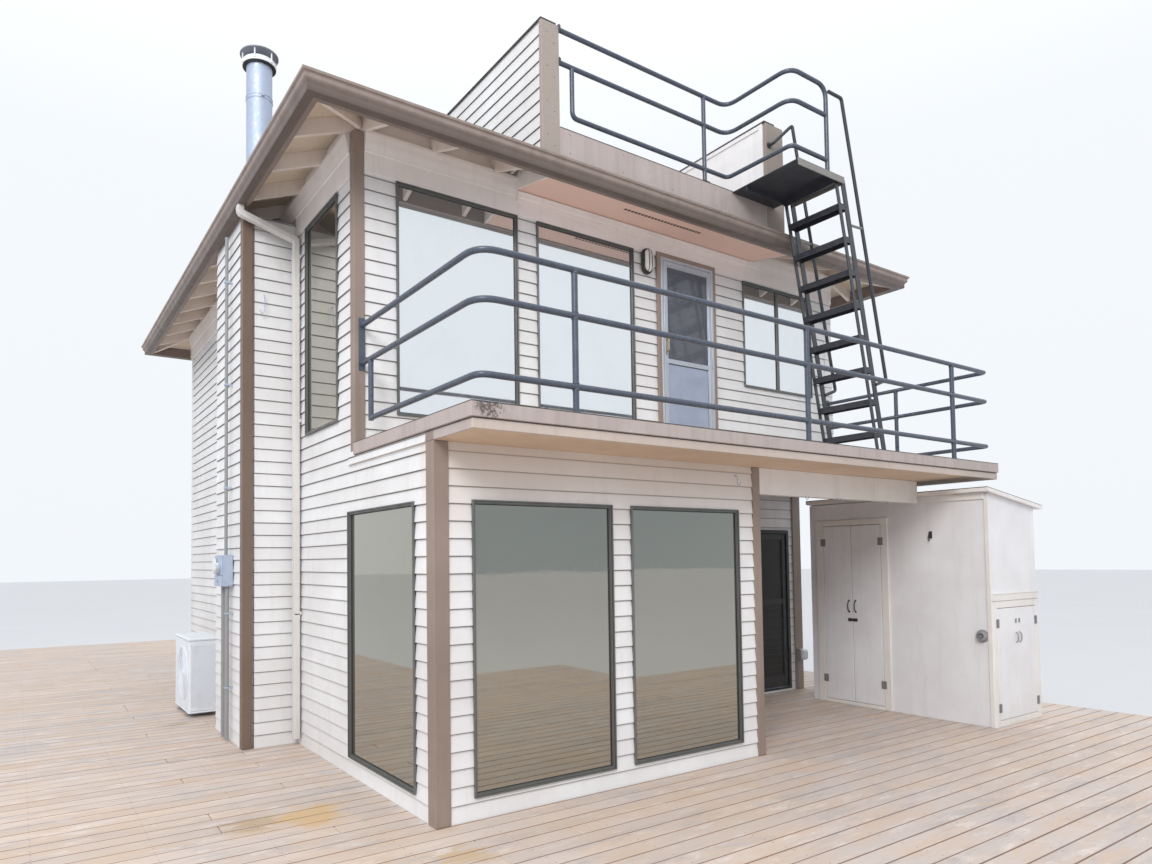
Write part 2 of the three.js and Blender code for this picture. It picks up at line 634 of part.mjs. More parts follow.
// Downspout beside the chase: elbow, slope back to the wall, straight drop
const SPOUT_X = -42;
const SPOUT_Y = CHASE_Y0 - 90;
const spoutTop = GUTTER_TOP - GUTTER_H;
const spout = [
  box(EAVE_X0 - 66, EAVE_X0 - 6, SPOUT_Y - SPOUT_HALF[1], SPOUT_Y + SPOUT_HALF[1], spoutTop - 95, spoutTop),
  prism('y', [
    [EAVE_X0 - 66, spoutTop - 100],
    [EAVE_X0 - 30, spoutTop - 155],
    [SPOUT_X + SPOUT_HALF[0], spoutTop - 345],
    [SPOUT_X + SPOUT_HALF[0], spoutTop - 265],
    [EAVE_X0 - 6, spoutTop - 70],
    [EAVE_X0 - 66, spoutTop - 70],
  ], SPOUT_Y - SPOUT_HALF[1], SPOUT_Y + SPOUT_HALF[1]),
  box(SPOUT_X - SPOUT_HALF[0], SPOUT_X + SPOUT_HALF[0],
    SPOUT_Y - SPOUT_HALF[1], SPOUT_Y + SPOUT_HALF[1], 60, spoutTop - 285),
];
add('downspout', union(spout), 'white', 0.2, 0.5);

// Stove flue with its cap
const lathe = (points, x, y, sides = 20) => {
  const g = new THREE.LatheGeometry(points.map(([r, z]) => new THREE.Vector2(r, z)), sides);
  g.rotateX(Math.PI / 2);
  g.translate(x, y, 0);
  return solidOf(g);
};
const flueProfile = [
  [0, CHASE_TOP], [175, CHASE_TOP], [175, CHASE_TOP + 4], [FLUE_R, CHASE_TOP + 8],
  [FLUE_R, FLUE_TOP], [168, FLUE_TOP], [168, FLUE_TOP + 26], [80, FLUE_TOP + 30],
  [80, FLUE_TOP + 56], [188, FLUE_TOP + 60], [188, FLUE_TOP + 72], [0, FLUE_TOP + 118],
];
add('flue', lathe(flueProfile, FLUE_X, FLUE_Y), 'zinc', 0.8, 0.45);

// Roof deck: floor, front curb and a screen wall each side
const wallFoot = (y) => RAFTER_Z0 + RAFTER_H + SHEET_GAP + SHEET_T + (y - EAVE_Y0) * SLOPE + 3;
const FLAT_Y = EAVE_Y0 + SKIRT;
const sideScreen = (x0, x1) => prism('x', [
  [TERRACE_Y0, wallFoot(TERRACE_Y0) + 12],
  [TERRACE_Y0 + SCREEN_T, wallFoot(TERRACE_Y0 + SCREEN_T)],
  [FLAT_Y, ROOF_TOP + 3],
  [FLAT_Y, ROOF_TOP],
  [TERRACE_Y1, ROOF_TOP],
  [TERRACE_Y1, TERRACE_WALL],
  [TERRACE_Y0, TERRACE_WALL],
], x0, x1);
add('roof_deck', union([
  box(TERRACE_X0, TERRACE_X1, TERRACE_Y0, TERRACE_Y0 + SCREEN_T, wallFoot(TERRACE_Y0) + 16, TERRACE_CURB),
  box(TERRACE_X0, TERRACE_X1, TERRACE_Y0, TERRACE_Y1, ROOF_TOP + 3, ROOF_TOP + 28),
  box(TERRACE_X0, TERRACE_X1, FLAT_Y, TERRACE_Y1, ROOF_TOP, ROOF_TOP + 20),
  sideScreen(TERRACE_X0, TERRACE_X0 + WALL),
  sideScreen(RIGHT_WALL_X, RIGHT_WALL_X + WALL),
  box(TERRACE_X0, TERRACE_X0 + SCREEN_POST, TERRACE_Y0, TERRACE_Y0 + SCREEN_T,
    wallFoot(TERRACE_Y0) + 16, TERRACE_WALL),
  box(RIGHT_WALL_X, TERRACE_X1, TERRACE_Y0, TERRACE_Y0 + SCREEN_T, wallFoot(TERRACE_Y0) + 16, TERRACE_WALL),
]), 'siding');

// Roof rail: from the left screen to the platform, out, and across its end
const TOP_Z = c(54.9);
const MID_Z = c(52.35);
const LOW_Z = c(48.45);
const RAIL_OUT_Y = c(0.55);
const CURB_RAIL_Y = TERRACE_Y0 + SCREEN_T / 2;
const railPath = (z) => [
  [TERRACE_X0 + SCREEN_POST, CURB_RAIL_Y, z],
  [RAIL_STEP_X[0], CURB_RAIL_Y, z],
  [RAIL_STEP_X[1], RAIL_OUT_Y, z],
  [RAIL_END_X, RAIL_OUT_Y, z],
];
const ROOF_BEND = 130;
const roofRail = [
  pipe([...railPath(TOP_Z), [RAIL_END_X, RAIL_OUT_Y, PLATFORM_Z]], RAIL_R, ROOF_BEND),
  pipe(railPath(MID_Z), RAIL_R, ROOF_BEND),
  pipe([[LOW_RAIL_X, CURB_RAIL_Y, LOW_Z], ...railPath(LOW_Z).slice(1)], RAIL_R, ROOF_BEND),
  rod([LOW_RAIL_X, CURB_RAIL_Y, LOW_Z - RAIL_R], [LOW_RAIL_X, CURB_RAIL_Y, MID_Z], RAIL_R),
  rod([RAIL_MID_X, CURB_RAIL_Y, TERRACE_CURB], [RAIL_MID_X, CURB_RAIL_Y, TOP_Z], RAIL_R),
];
add('roof_rail', union(roofRail), 'steel', 0.6, 0.5);

// Platform and ship's ladder: two flat bars a side, channel treads and two handrails
const ladderX = (z) => LADDER_TOP_X + (PLATFORM_Z - z) * LADDER_RUN;
const sideBar = ([a, b], y) => prism('y', [
  [ladderX(BALCONY_Z) + a, BALCONY_Z],
  [ladderX(BALCONY_Z) + b, BALCONY_Z],
  [LADDER_TOP_X + b, PLATFORM_Z - 2],
  [LADDER_TOP_X + a, PLATFORM_Z - 2],
], y, y + BAR_T);
const tread = (z) => {
  const [x0, x1] = TREAD_X.map((x) => x + ladderX(z));
  return prism('y', [
    [x0, z - TREAD_H],
    [x0 + TREAD_T, z - TREAD_H],
    [x0 + TREAD_T, z - TREAD_T],
    [x1 - TREAD_T, z - TREAD_T],
    [x1 - TREAD_T, z - TREAD_H],
    [x1, z - TREAD_H],
    [x1, z],
    [x0, z],
  ], LADDER_Y[0] + BAR_T / 2, LADDER_Y[1] + BAR_T / 2);
};
const platformRim = (y) => box(PLATFORM[0], PLATFORM[1] - 60, y, y + BAR_T, PLATFORM_Z - 60, PLATFORM_Z - 2);
const ladderParts = [
  box(PLATFORM[0], PLATFORM[1] - 60, PLATFORM[2], PLATFORM[3], PLATFORM_Z - PLATE_T, PLATFORM_Z),
  box(PLATFORM[1] - 70, PLATFORM[1], PLATFORM[2], LADDER_Y[1] + BAR_T, PLATFORM_Z - PLATE_T, PLATFORM_Z),
  box(HEADER_X, HEADER_X + BAR_T, LADDER_Y[0], LADDER_Y[1], PLATFORM_Z - HEADER_H, PLATFORM_Z - 2),
  platformRim(PLATFORM[2]),
  platformRim(LADDER_Y[1]),
];
LADDER_Y.forEach((y) => SIDE_BARS.forEach((bar) => ladderParts.push(sideBar(bar, y))));
for (let i = 0; i < TREADS; i += 1) ladderParts.push(tread(TREAD_TOP - i * TREAD_RISE));
const handX = (z) => HAND_TOP_X + (HAND_TOP - z) * HAND_LEAN;
const frontHand = LADDER_Y[0] + BAR_T / 2;
const backHand = LADDER_Y[1] + BAR_T / 2;
const handFoot = (y) => [
  [handX(HAND_END), y, HAND_END],
  [ladderX(HAND_BACK) + SIDE_BARS[1][1] - 7, y, HAND_BACK],
];
const bracket = (y, z) => rod([ladderX(z) + SIDE_BARS[1][1] - 7, y, z], [handX(z), y, z + 10], 13, 6);
ladderParts.push(
  pipe([
    [RAIL_END_X + RAIL_R + SEAT, frontHand, HAND_TOP],
    [handX(HAND_TOP) - 10, frontHand, HAND_TOP],
    ...handFoot(frontHand),
  ], HAND_R, HAND_BEND),
  pipe([
    [BACK_HAND_X, TERRACE_Y0, BACK_HAND_Z[0]],
    [BACK_HAND_X, TERRACE_Y0 - 60, BACK_HAND_Z[0]],
    [HAND_TOP_X, backHand, BACK_HAND_Z[1]],
    [handX(BACK_HAND_Z[2]), backHand, BACK_HAND_Z[2]],
    ...handFoot(backHand),
  ], HAND_R, HAND_BEND),
  bracket(frontHand, HAND_BRACKET_Z[0]),
  bracket(backHand, HAND_BRACKET_Z[1]),
);
add('ladder', union(ladderParts), 'black', 0.6, 0.5);

// Windows: a framed unit with its pane, one body each
const WINDOW_GAP = 2;
const WINDOW_FRAME = 24;
const windowUnit = (facing, at, [a0, a1, z0, z1], split = 0) => {
  const f = WINDOW_FRAME;
  const mk = (p0, p1, q0, q1, d0, d1) => (facing === 'y'
    ? box(p0, p1, at + d0, at + d1, q0, q1)
    : box(at + d0, at + d1, p0, p1, q0, q1));
  const outer = mk(a0 + WINDOW_GAP, a1 - WINDOW_GAP, z0, z1 - WINDOW_GAP, -6, 90);
  const hole = mk(a0 + f, a1 - f, z0 + f, z1 - f, -40, 140);
  const pane = mk(a0 + f - 5, a1 - f + 5, z0 + f - 5, z1 - f + 5, 26, 50);
  const parts = [outer.subtract(hole), pane];
  if (split) parts.push(mk(split - 22, split + 22, z0 + f - 5, z1 - f + 5, 0, 60));
  return union(parts);
};
add('window_front_left', windowUnit('y', 0, FRONT_1), 'glass', 0, 0.1);
add('window_front_right', windowUnit('y', 0, FRONT_2), 'glass', 0, 0.1);
add('window_left_low', windowUnit('x', 0, LEFT_LOW), 'glass', 0, 0.1);
add('window_left_tall', windowUnit('x', 0, LEFT_TALL), 'glass', 0, 0.1);
add('window_upper_left', windowUnit('y', UPPER_Y0, UPPER_1), 'glass', 0, 0.1);
add('window_upper_middle', windowUnit('y', UPPER_Y0, UPPER_2), 'glass', 0, 0.1);
add('window_upper_right', windowUnit('y', UPPER_Y0, UPPER_3, c(45.4)), 'glass', 0, 0.1);
add('window_rear', windowUnit('y', HOUSE_Y1 - 84, REAR_WINDOW, c(35)), 'glass', 0, 0.1);
add('window_right', windowUnit('x', HOUSE_X1 - 84, RIGHT_WINDOW, c(40)), 'glass', 0, 0.1);

// Balcony storm door: frame in the wall with its casing, glazed leaf hung on the right
const doorFrame = ([x0, x1, z0, z1], y0, y1, w, foot = 20) => box(x0, x1, y0, y1, z0, z1)
  .subtract(box(x0 + w, x1 - w, y0 - 10, y1 + 10, z0 + foot, z1 - w));
const STORM_JAMB = 30;
const leafY = UPPER_Y0 - 30;
const stormLeaf = [STORM[0] + STORM_JAMB + LEAF_GAP, STORM[1] - STORM_JAMB - LEAF_GAP,
  STORM[2] + 20 + LEAF_GAP, STORM[3] - STORM_JAMB - LEAF_GAP];
const stormAxis = [stormLeaf[1] + LEAF_GAP / 2, leafY - 6];
const stormHeights = [c(26.5), c(33), c(39.8)];
const casingFront = UPPER_Y0 - 24;
add('storm_door_frame', union([
  doorFrame(STORM, casingFront, UPPER_Y0 + WALL, STORM_JAMB),
  doorFrame([STORM_CASING[0], STORM_CASING[1], STORM[2], STORM_CASING[2]], casingFront, UPPER_Y0,
    STORM[0] - STORM_CASING[0] + 5),
  ...frameHinges(stormAxis, 6, [stormAxis[0], stormAxis[0] + 30, leafY - 3, casingFront + 3], stormHeights),
]), 'brown');
const stormMid = c(32.6);
const STILE = 75;
const HANDLE_Z = [c(33.4), c(34.4)];
const stormLight = (z0, z1) => box(stormLeaf[0] + STILE, stormLeaf[1] - STILE,
  leafY - 10, leafY + 60, z0, z1);
const handleX = stormLeaf[0] + 28;
add('storm_door', union([
  cut(box(stormLeaf[0], stormLeaf[1], leafY, leafY + 34, stormLeaf[2], stormLeaf[3]), [
    stormLight(stormLeaf[2] + 240, stormMid - 35),
    stormLight(stormMid + 35, stormLeaf[3] - STILE),
  ]),
  box(stormLeaf[0] + STILE - 5, stormLeaf[1] - STILE + 5, leafY + 14, leafY + 20,
    stormLeaf[2] + 235, stormLeaf[3] - STILE + 5),
  box(handleX, handleX + 20, leafY - 34, leafY + 2, HANDLE_Z[0], HANDLE_Z[0] + 20),
  box(handleX, handleX + 20, leafY - 34, leafY + 2, HANDLE_Z[1], HANDLE_Z[1] + 20),
  box(handleX, handleX + 20, leafY - 46, leafY - 30, HANDLE_Z[0], HANDLE_Z[1] + 20),
  ...leafHinges(stormAxis, 6, [stormAxis[0] - 30, stormAxis[0], leafY - 3, leafY + 3], stormHeights),
]), 'white', 0.1, 0.5);

// Porch slider: fixed glazed half and frame, then the sliding screen outside it
const midX = (SLIDER[0] + SLIDER[1]) / 2;
add('slider_frame', union([
  doorFrame([SLIDER[0], SLIDER[1], SLIDER[2], SLIDER[3]], PORCH_Y - 4, PORCH_Y + 126, 45, 30),
  box(SLIDER[0] + 40, midX + 30, PORCH_Y + 50, PORCH_Y + 80, SLIDER[2] + 25, SLIDER[3] - 40),
  box(midX - 30, midX + 30, PORCH_Y + 80, PORCH_Y + 110, SLIDER[2] + 25, SLIDER[3] - 40),
]), 'black', 0.3, 0.5);
add('sliding_door', union([
  box(midX + 40, SLIDER[1] - 50, PORCH_Y + 10, PORCH_Y + 40, SLIDER[2] + 35, SLIDER[3] - 50)
    .subtract(box(midX + 110, SLIDER[1] - 120, PORCH_Y, PORCH_Y + 60, SLIDER[2] + 150, SLIDER[3] - 120)),
  box(midX + 105, SLIDER[1] - 115, PORCH_Y + 22, PORCH_Y + 27, SLIDER[2] + 145, SLIDER[3] - 115),
  box(midX + 80, midX + 140, PORCH_Y + 18, PORCH_Y + 32, SLIDER[2] + 30 + SEAT, SLIDER[2] + 40),
  box(SLIDER[1] - 150, SLIDER[1] - 90, PORCH_Y + 18, PORCH_Y + 32, SLIDER[2] + 30 + SEAT, SLIDER[2] + 40),
]), 'black', 0.3, 0.5);

// Rear entry door in its frame
const rearIn = HOUSE_Y1 - 70;
const rearAxis = [REAR_DOOR[0] + 6 + SEAT, rearIn - 6];
const rearHeights = [c(3), c(9.5), c(16)];
add('rear_door_frame', union([
  openY(HOUSE_Y1 - WALL, HOUSE_Y1, rearHole).subtract(openY(HOUSE_Y1 - WALL - 10, HOUSE_Y1 + 10, REAR_DOOR)),
  ...frameHinges(rearAxis, 6, [REAR_DOOR[0] - 5, rearAxis[0], rearIn - 8, rearIn - 4], rearHeights),
]), 'brown');
add('rear_door', union([
  box(REAR_DOOR[0] + 6, REAR_DOOR[1] - 6, rearIn, rearIn + 45, REAR_DOOR[2] + 8, REAR_DOOR[3] - 6),
  ...leafHinges(rearAxis, 6, [rearAxis[0], rearAxis[0] + 30, rearIn - 3, rearIn + 3], rearHeights),
  rod([REAR_DOOR[1] - 70, HOUSE_Y1 - 30, c(8.8)], [REAR_DOOR[1] - 70, HOUSE_Y1 + 30, c(8.8)], 24, 12),
]), 'brown');

// Shed: panel walls under a lean-to roof
const shedTop = (x) => SHED_Z_LEFT + ((SHED_Z_RIGHT - SHED_Z_LEFT) * (x - SHED_X0)) / (SHED_X1 - SHED_X0);
const shedPanel = (y0, y1, x0, x1) => prism('y', [
  [x0, 0], [x1, 0], [x1, shedTop(x1)], [x0, shedTop(x0)],
], y0, y1);
const shedFace = SHED_X0 - SHED_TRIM;
const shedHeights = [c(2.4), c(16.13)];
const shedAxis = [-1, 1].map((side) => [shedFace - 5, SHED_DOOR[side < 0 ? 0 : 1] - (side * LEAF_GAP) / 2]);
const shedHinge = (k, y0, y1) => [shedAxis[k], 5, [shedFace - 3, shedFace + 3, shedAxis[k][1] + y0,
  shedAxis[k][1] + y1], shedHeights];
add('shed_door_wall', union([
  cut(union([
    box(SHED_X0, SHED_X0 + SHED_T, SHED_Y0, SHED_Y1, 0, shedTop(SHED_X0 + SHED_T)),
    box(shedFace, SHED_X0 + 5, SHED_CASING[0], SHED_CASING[1], 0, SHED_CASING[2]),
  ]), [openX(shedFace - 10, SHED_X0 + SHED_T + 10, SHED_DOOR)]),
  ...frameHinges(...shedHinge(0, -22, 0)),
  ...frameHinges(...shedHinge(1, 0, 22)),
]), 'white');
const lockerFace = SHED_Y0 - SHED_TRIM;
const lockerHeights = [c(1.6), c(8.8)];
const lockerAxis = [-1, 1].map((side) => [
  LOCKER_DOOR[side < 0 ? 0 : 1] - (side * LEAF_GAP) / 2, lockerFace - 5,
]);
const lockerHinge = (k, x0, x1) => [lockerAxis[k], 5, [lockerAxis[k][0] + x0, lockerAxis[k][0] + x1,
  lockerFace - 3, lockerFace + 3], lockerHeights];
add('shed_front_wall', union([
  cut(union([
    shedPanel(SHED_Y0, SHED_Y0 + SHED_T, SHED_X0 + SHED_T, SHED_X1 - SHED_T),
    box(SHED_X0 + SHED_T, SHED_X1 - SHED_T, lockerFace, SHED_Y0 + 5, 0, PANEL_TOP),
    box(SHED_X0, SHED_X1, lockerFace, SHED_Y0, 0, PANEL_TOP),
  ]), [openY(lockerFace - 10, SHED_Y0 + SHED_T + 10, LOCKER_DOOR)]),
  ...frameHinges(...lockerHinge(0, -22, 0)),
  ...frameHinges(...lockerHinge(1, 0, 22)),
]), 'white');
add('shed_back_wall', shedPanel(SHED_Y1 - SHED_T, SHED_Y1, SHED_X0 + SHED_T, SHED_X1 - SHED_T), 'white');
add('shed_right_wall', box(SHED_X1 - SHED_T, SHED_X1, SHED_Y0, SHED_Y1, 0, shedTop(SHED_X1)), 'white');
add('shed_roof', prism('y', [
  [SHED_X0 - 70, shedTop(SHED_X0 - 70)],
  [SHED_X0, shedTop(SHED_X0)],
  [SHED_X1 + 110, shedTop(SHED_X1 + 110)],
  [SHED_X1 + 110, shedTop(SHED_X1 + 110) + 45],
  [SHED_X0 - 70, shedTop(SHED_X0 - 70) + 45],
].map(([x, z]) => [x, z + 0.5]), SHED_Y0 - 45, SHED_Y1), 'white');

const LEAF_T = 20;
const MEETING = 3;
const shedMid = (SHED_DOOR[0] + SHED_DOOR[1]) / 2;
const shedLeaf = (y0, y1) => box(shedFace, shedFace + LEAF_T, y0, y1,
  SHED_DOOR[2] + LEAF_GAP, SHED_DOOR[3] - LEAF_GAP);
add('shed_door_left', union([
  shedLeaf(shedMid + MEETING, SHED_DOOR[1] - LEAF_GAP),
  ...leafHinges(...shedHinge(1, -22, 0)),
]), 'white');
add('shed_door_right', union([
  shedLeaf(SHED_DOOR[0] + LEAF_GAP, shedMid - MEETING),
  ...leafHinges(...shedHinge(0, 0, 22)),
]), 'white');
const lockerMid = (LOCKER_DOOR[0] + LOCKER_DOOR[1]) / 2;
const lockerLeaf = (x0, x1) => box(x0, x1, lockerFace, lockerFace + LEAF_T,
  LOCKER_DOOR[2] + LEAF_GAP, LOCKER_DOOR[3] - LEAF_GAP);
add('locker_door_left', union([
  lockerLeaf(LOCKER_DOOR[0] + LEAF_GAP, lockerMid - MEETING),
  ...leafHinges(...lockerHinge(0, 0, 22)),
]), 'white');
add('locker_door_right', union([
  lockerLeaf(lockerMid + MEETING, LOCKER_DOOR[1] - LEAF_GAP),
  ...leafHinges(...lockerHinge(1, -22, 0)),
]), 'white');

// Meter box on the chase and the heat pump on the deck behind it
add('meter_box', union([
  box(CHASE_X - METER_DEPTH, CHASE_X, METER_Y, METER_Y + METER_W, METER_Z, METER_Z + METER_H),
  box(CHASE_X - METER_DEPTH - 40, CHASE_X - METER_DEPTH + 10, METER_Y + 60, METER_Y + METER_W - 60,
    METER_Z + 110, METER_Z + METER_H - 30),
]), 'zinc', 0.5, 0.5);
add('outdoor_unit', box(...OUTDOOR_UNIT), 'white');

house.position.set(-(DECK_X0 + DECK_X1) / 2, -(DECK_Y0 + DECK_Y1) / 2, -FLOAT_BOTTOM);

const part = new THREE.Group();
part.add(house);
part.updateMatrixWorld(true);
export default part;
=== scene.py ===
"""Looks for a two-storey floating home on a log float.

Everything is in metres. House coordinates start at the front left lower corner of the house, at deck
level: X runs along the front wall, Y goes back, Z goes up. ORIGIN moves them into the part's frame.
Heights and widths on the walls count siding courses, so c(10) is ten lap boards. A pair is (from, to).
"""
import json
import math
import random

import bmesh
import bpy
import numpy as np
from mathutils import Matrix, Vector


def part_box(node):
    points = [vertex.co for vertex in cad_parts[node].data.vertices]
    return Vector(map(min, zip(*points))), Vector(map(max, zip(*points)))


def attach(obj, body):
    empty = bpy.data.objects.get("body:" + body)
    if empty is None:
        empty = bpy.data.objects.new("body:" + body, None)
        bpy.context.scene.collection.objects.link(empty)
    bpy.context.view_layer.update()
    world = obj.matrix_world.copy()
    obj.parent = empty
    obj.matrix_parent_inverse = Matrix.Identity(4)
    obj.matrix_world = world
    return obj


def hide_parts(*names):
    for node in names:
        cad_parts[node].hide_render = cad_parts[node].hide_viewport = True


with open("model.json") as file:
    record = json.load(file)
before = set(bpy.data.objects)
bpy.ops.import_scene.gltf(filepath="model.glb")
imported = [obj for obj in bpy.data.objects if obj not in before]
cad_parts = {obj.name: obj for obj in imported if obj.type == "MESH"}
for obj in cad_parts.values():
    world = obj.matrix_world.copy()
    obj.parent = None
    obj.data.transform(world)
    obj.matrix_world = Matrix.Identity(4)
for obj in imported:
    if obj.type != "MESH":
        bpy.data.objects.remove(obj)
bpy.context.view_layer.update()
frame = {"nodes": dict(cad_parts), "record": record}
nodes = frame["nodes"]
rng = random.Random(4)

COURSE = 0.1143
POST_PROUD = 0.008
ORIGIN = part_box("front_corner_post")[0] + Vector((POST_PROUD, POST_PROUD, 0))
WATERLINE = 0.5

# Camera at the photograph's viewpoint, solved from the house's own straight lines
CAM_AT = (-4.5091, -8.7357, 2.7277)
CAM_YAW, CAM_PITCH, CAM_ROLL = 0.583484, 0.038029, -0.011863
PHOTO_W, PHOTO_H = 1152, 864
FOCAL_PX = 764.016
CENTRE_PX = (520.0, 531.345)
SENSOR_MM = 36.0


def c(n):
    """Siding courses to metres."""
    return n * COURSE


def about(at, half):
    return at - half, at + half


def span(at, reach):
    return at, at + reach


def link_object(name, data):
    made = bpy.data.objects.new(name, data)
    bpy.context.scene.collection.objects.link(made)
    return made


def make_camera():
    data = bpy.data.cameras.new("camera")
    data.sensor_width = SENSOR_MM
    data.lens = FOCAL_PX / PHOTO_W * SENSOR_MM
    data.shift_x = (PHOTO_W / 2 - CENTRE_PX[0]) / PHOTO_W
    data.shift_y = (CENTRE_PX[1] - PHOTO_H / 2) / PHOTO_W
    data.clip_end = 400
    camera = link_object("camera", data)
    level = math.cos(CAM_PITCH)
    forward = Vector((math.sin(CAM_YAW) * level, math.cos(CAM_YAW) * level, math.sin(CAM_PITCH)))
    right = Vector((math.cos(CAM_YAW), -math.sin(CAM_YAW), 0))
    up = right.cross(forward)
    side = right * math.cos(CAM_ROLL) + up * math.sin(CAM_ROLL)
    top = up * math.cos(CAM_ROLL) - right * math.sin(CAM_ROLL)
    camera.matrix_world = Matrix((side, top, -forward)).transposed().to_4x4()
    camera.location = CAM_AT
    bpy.context.scene.camera = camera


class Graph:
    """A node graph that starts from one kind of coordinates."""

    def __init__(self, owner, coordinates):
        owner.use_nodes = True
        self.tree = owner.node_tree
        self.tree.nodes.clear()
        self.coord = self.node("TexCoord").outputs[coordinates]
        self.x, self.y, self.z = self.node("SeparateXYZ", {0: self.coord}).outputs

    def put(self, socket, value):
        if isinstance(value, bpy.types.NodeSocket):
            self.tree.links.new(value, socket)
        elif isinstance(value, tuple) and len(value) == 3 and socket.type == "RGBA":
            socket.default_value = (*value, 1.0)
        else:
            socket.default_value = value

    def node(self, kind, inputs=(), **settings):
        """A node with its settings, and values or links for its inputs."""
        made = self.tree.nodes.new("ShaderNode" + kind)
        for key, value in settings.items():
            setattr(made, key, value)
        for key, value in dict(inputs).items():
            self.put(made.inputs[key], value)
        return made

    def math(self, operation, a, b=0.0):
        return self.node("Math", {0: a, 1: b}, operation=operation).outputs[0]

    def product(self, first, *others):
        for other in others:
            first = self.math("MULTIPLY", first, other)
        return first

    def less(self, a, b):
        return self.math("LESS_THAN", a, b)

    def repeat(self, value, pitch):
        """0 to 1 over each pitch."""
        return self.math("FRACT", self.math("DIVIDE", value, pitch))

    def ramp(self, factor, *stops):
        made = self.node("ValToRGB", {0: factor})
        band = made.color_ramp
        while len(band.elements) < len(stops):
            band.elements.new(0.5)
        for element, (at, value) in zip(band.elements, stops):
            element.position = at
            element.color = (*value, 1) if isinstance(value, tuple) else (value, value, value, 1)
        return made.outputs[0]

    def mix(self, factor, a, b):
        return self.node("Mix", {"Factor": factor, 6: a, 7: b}, data_type="RGBA").outputs[2]


class Shade(Graph):
    """The graph of one material, in the piece's own coordinates."""

    def __init__(self, name, rough=0.5, metal=0.0):
        self.material = bpy.data.materials.new(name)
        super().__init__(self.material, "Object")
        self.bsdf = self.node("BsdfPrincipled", {"Roughness": rough, "Metallic": metal})
        self.node("OutputMaterial", {"Surface": self.bsdf.outputs[0]})
        self.normal = None

    def noise(self, scale, detail=3.0, rough=0.55, stretch=None, warp=0.0):
        where = self.coord
        if stretch:
            where = self.node("Mapping", {"Vector": where, "Scale": stretch}).outputs[0]
        inputs = {"Scale": scale, "Detail": detail, "Roughness": rough, "Distortion": warp, "Vector": where}
        return self.node("TexNoise", inputs).outputs["Fac"]

    def past(self, axis, start):
        """How far a point lies past a house coordinate."""
        return self.math("SUBTRACT", getattr(self, axis), getattr(ORIGIN, axis) + start)

    def short_of(self, axis, end):
        return self.math("SUBTRACT", getattr(ORIGIN, axis) + end, getattr(self, axis))

    def layer(self, under, factor, low, high, strength, colour):
        """A colour that comes in between low and high of a factor, up to a strength."""
        return self.mix(self.ramp(factor, (low, 0), (high, strength)), under, colour)

    def near(self, at, inner, outer, ragged=0.0):
        """1 within inner metres of a house place, fading to 0 at outer metres, with a ragged rim if asked."""
        place = self.node("VectorMath", {0: self.coord, 1: tuple(ORIGIN + Vector(at))}, operation="DISTANCE")
        gone = self.math("ADD", place.outputs["Value"], ragged)
        return self.ramp(gone, (inner, 1), (outer, 0))

    def tone(self):
        """The shade of each board, kept in the mesh."""
        return self.node("Attribute", attribute_name="tone").outputs["Fac"]

    def upward(self):
        """1 where the surface faces up, -1 where it faces down."""
        normal = self.node("NewGeometry").outputs["Normal"]
        return self.node("SeparateXYZ", {0: normal}).outputs[2]

    def bump(self, height, strength, distance):
        inputs = {"Strength": strength, "Distance": distance, "Height": height}
        if self.normal:
            inputs["Normal"] = self.normal
        self.normal = self.node("Bump", inputs).outputs[0]
        self.put(self.bsdf.inputs["Normal"], self.normal)

    def colour(self, value):
        self.put(self.bsdf.inputs["Base Color"], value)

    def rough(self, factor, low, a, high, b):
        self.put(self.bsdf.inputs["Roughness"], self.ramp(factor, (low, a), (high, b)))


# Stretch of the grain under the paint, and of the runs down paint and metal
PAINT_GRAIN = (0.55, 0.55, 26)
PAINT_RUNS = (5, 5, 0.35)
METAL_RUNS = (3, 3, 0.4)

# Eaves: x from, x to, y from, y to; the gutter's foot; the closed part of the soffit
EAVE = (-0.514, 6.732, 0.795, 8.595)
EAVE_FOOT = 4.943
CLOSED = (c(13.5), c(41.25))


def scaled(colour, times, lift=0.0):
    return tuple(min(1, v * times + lift) for v in colour)


def lap_shadows(s, shade, dirt):
    """Each lap board a little different, a painted shadow under its edge, and painted warm light on the lower
    wall.
    """
    up = s.past("z", 0)
    row = s.math("FLOOR", s.math("DIVIDE", up, COURSE))
    white = s.node("TexWhiteNoise", {"W": row}, noise_dimensions="1D").outputs["Value"]
    shade = s.layer(shade, white, 0, 1.0, 0.16, dirt)
    within = s.repeat(up, COURSE)
    # Darker towards both edges of each lap board: grime along the laps together with painted shade.
    shade = s.mix(s.ramp(within, (0, 0.3), (0.1, 0), (0.84, 0), (0.92, 0.3)), shade, dirt)
    # Painted shadow: a thin dark line just under each board's butt edge.
    shadow_line = s.ramp(within, (0, 0.9), (0.01, 0), (0.938, 0), (0.955, 0.9))
    shade = s.mix(shadow_line, shade, scaled(dirt, 0.33))
    # Painted light: warm bounce from the deck on the wall under the porch, stronger higher up.
    glow = s.ramp(s.past("z", c(15.5)), (0, 0), (0.72, 0.55))
    porch = s.product(s.less(s.y, ORIGIN.y + 0.2), s.less(s.z, ORIGIN.z + c(21.5)))
    return s.mix(s.product(glow, porch), shade, (0.7, 0.565, 0.455))


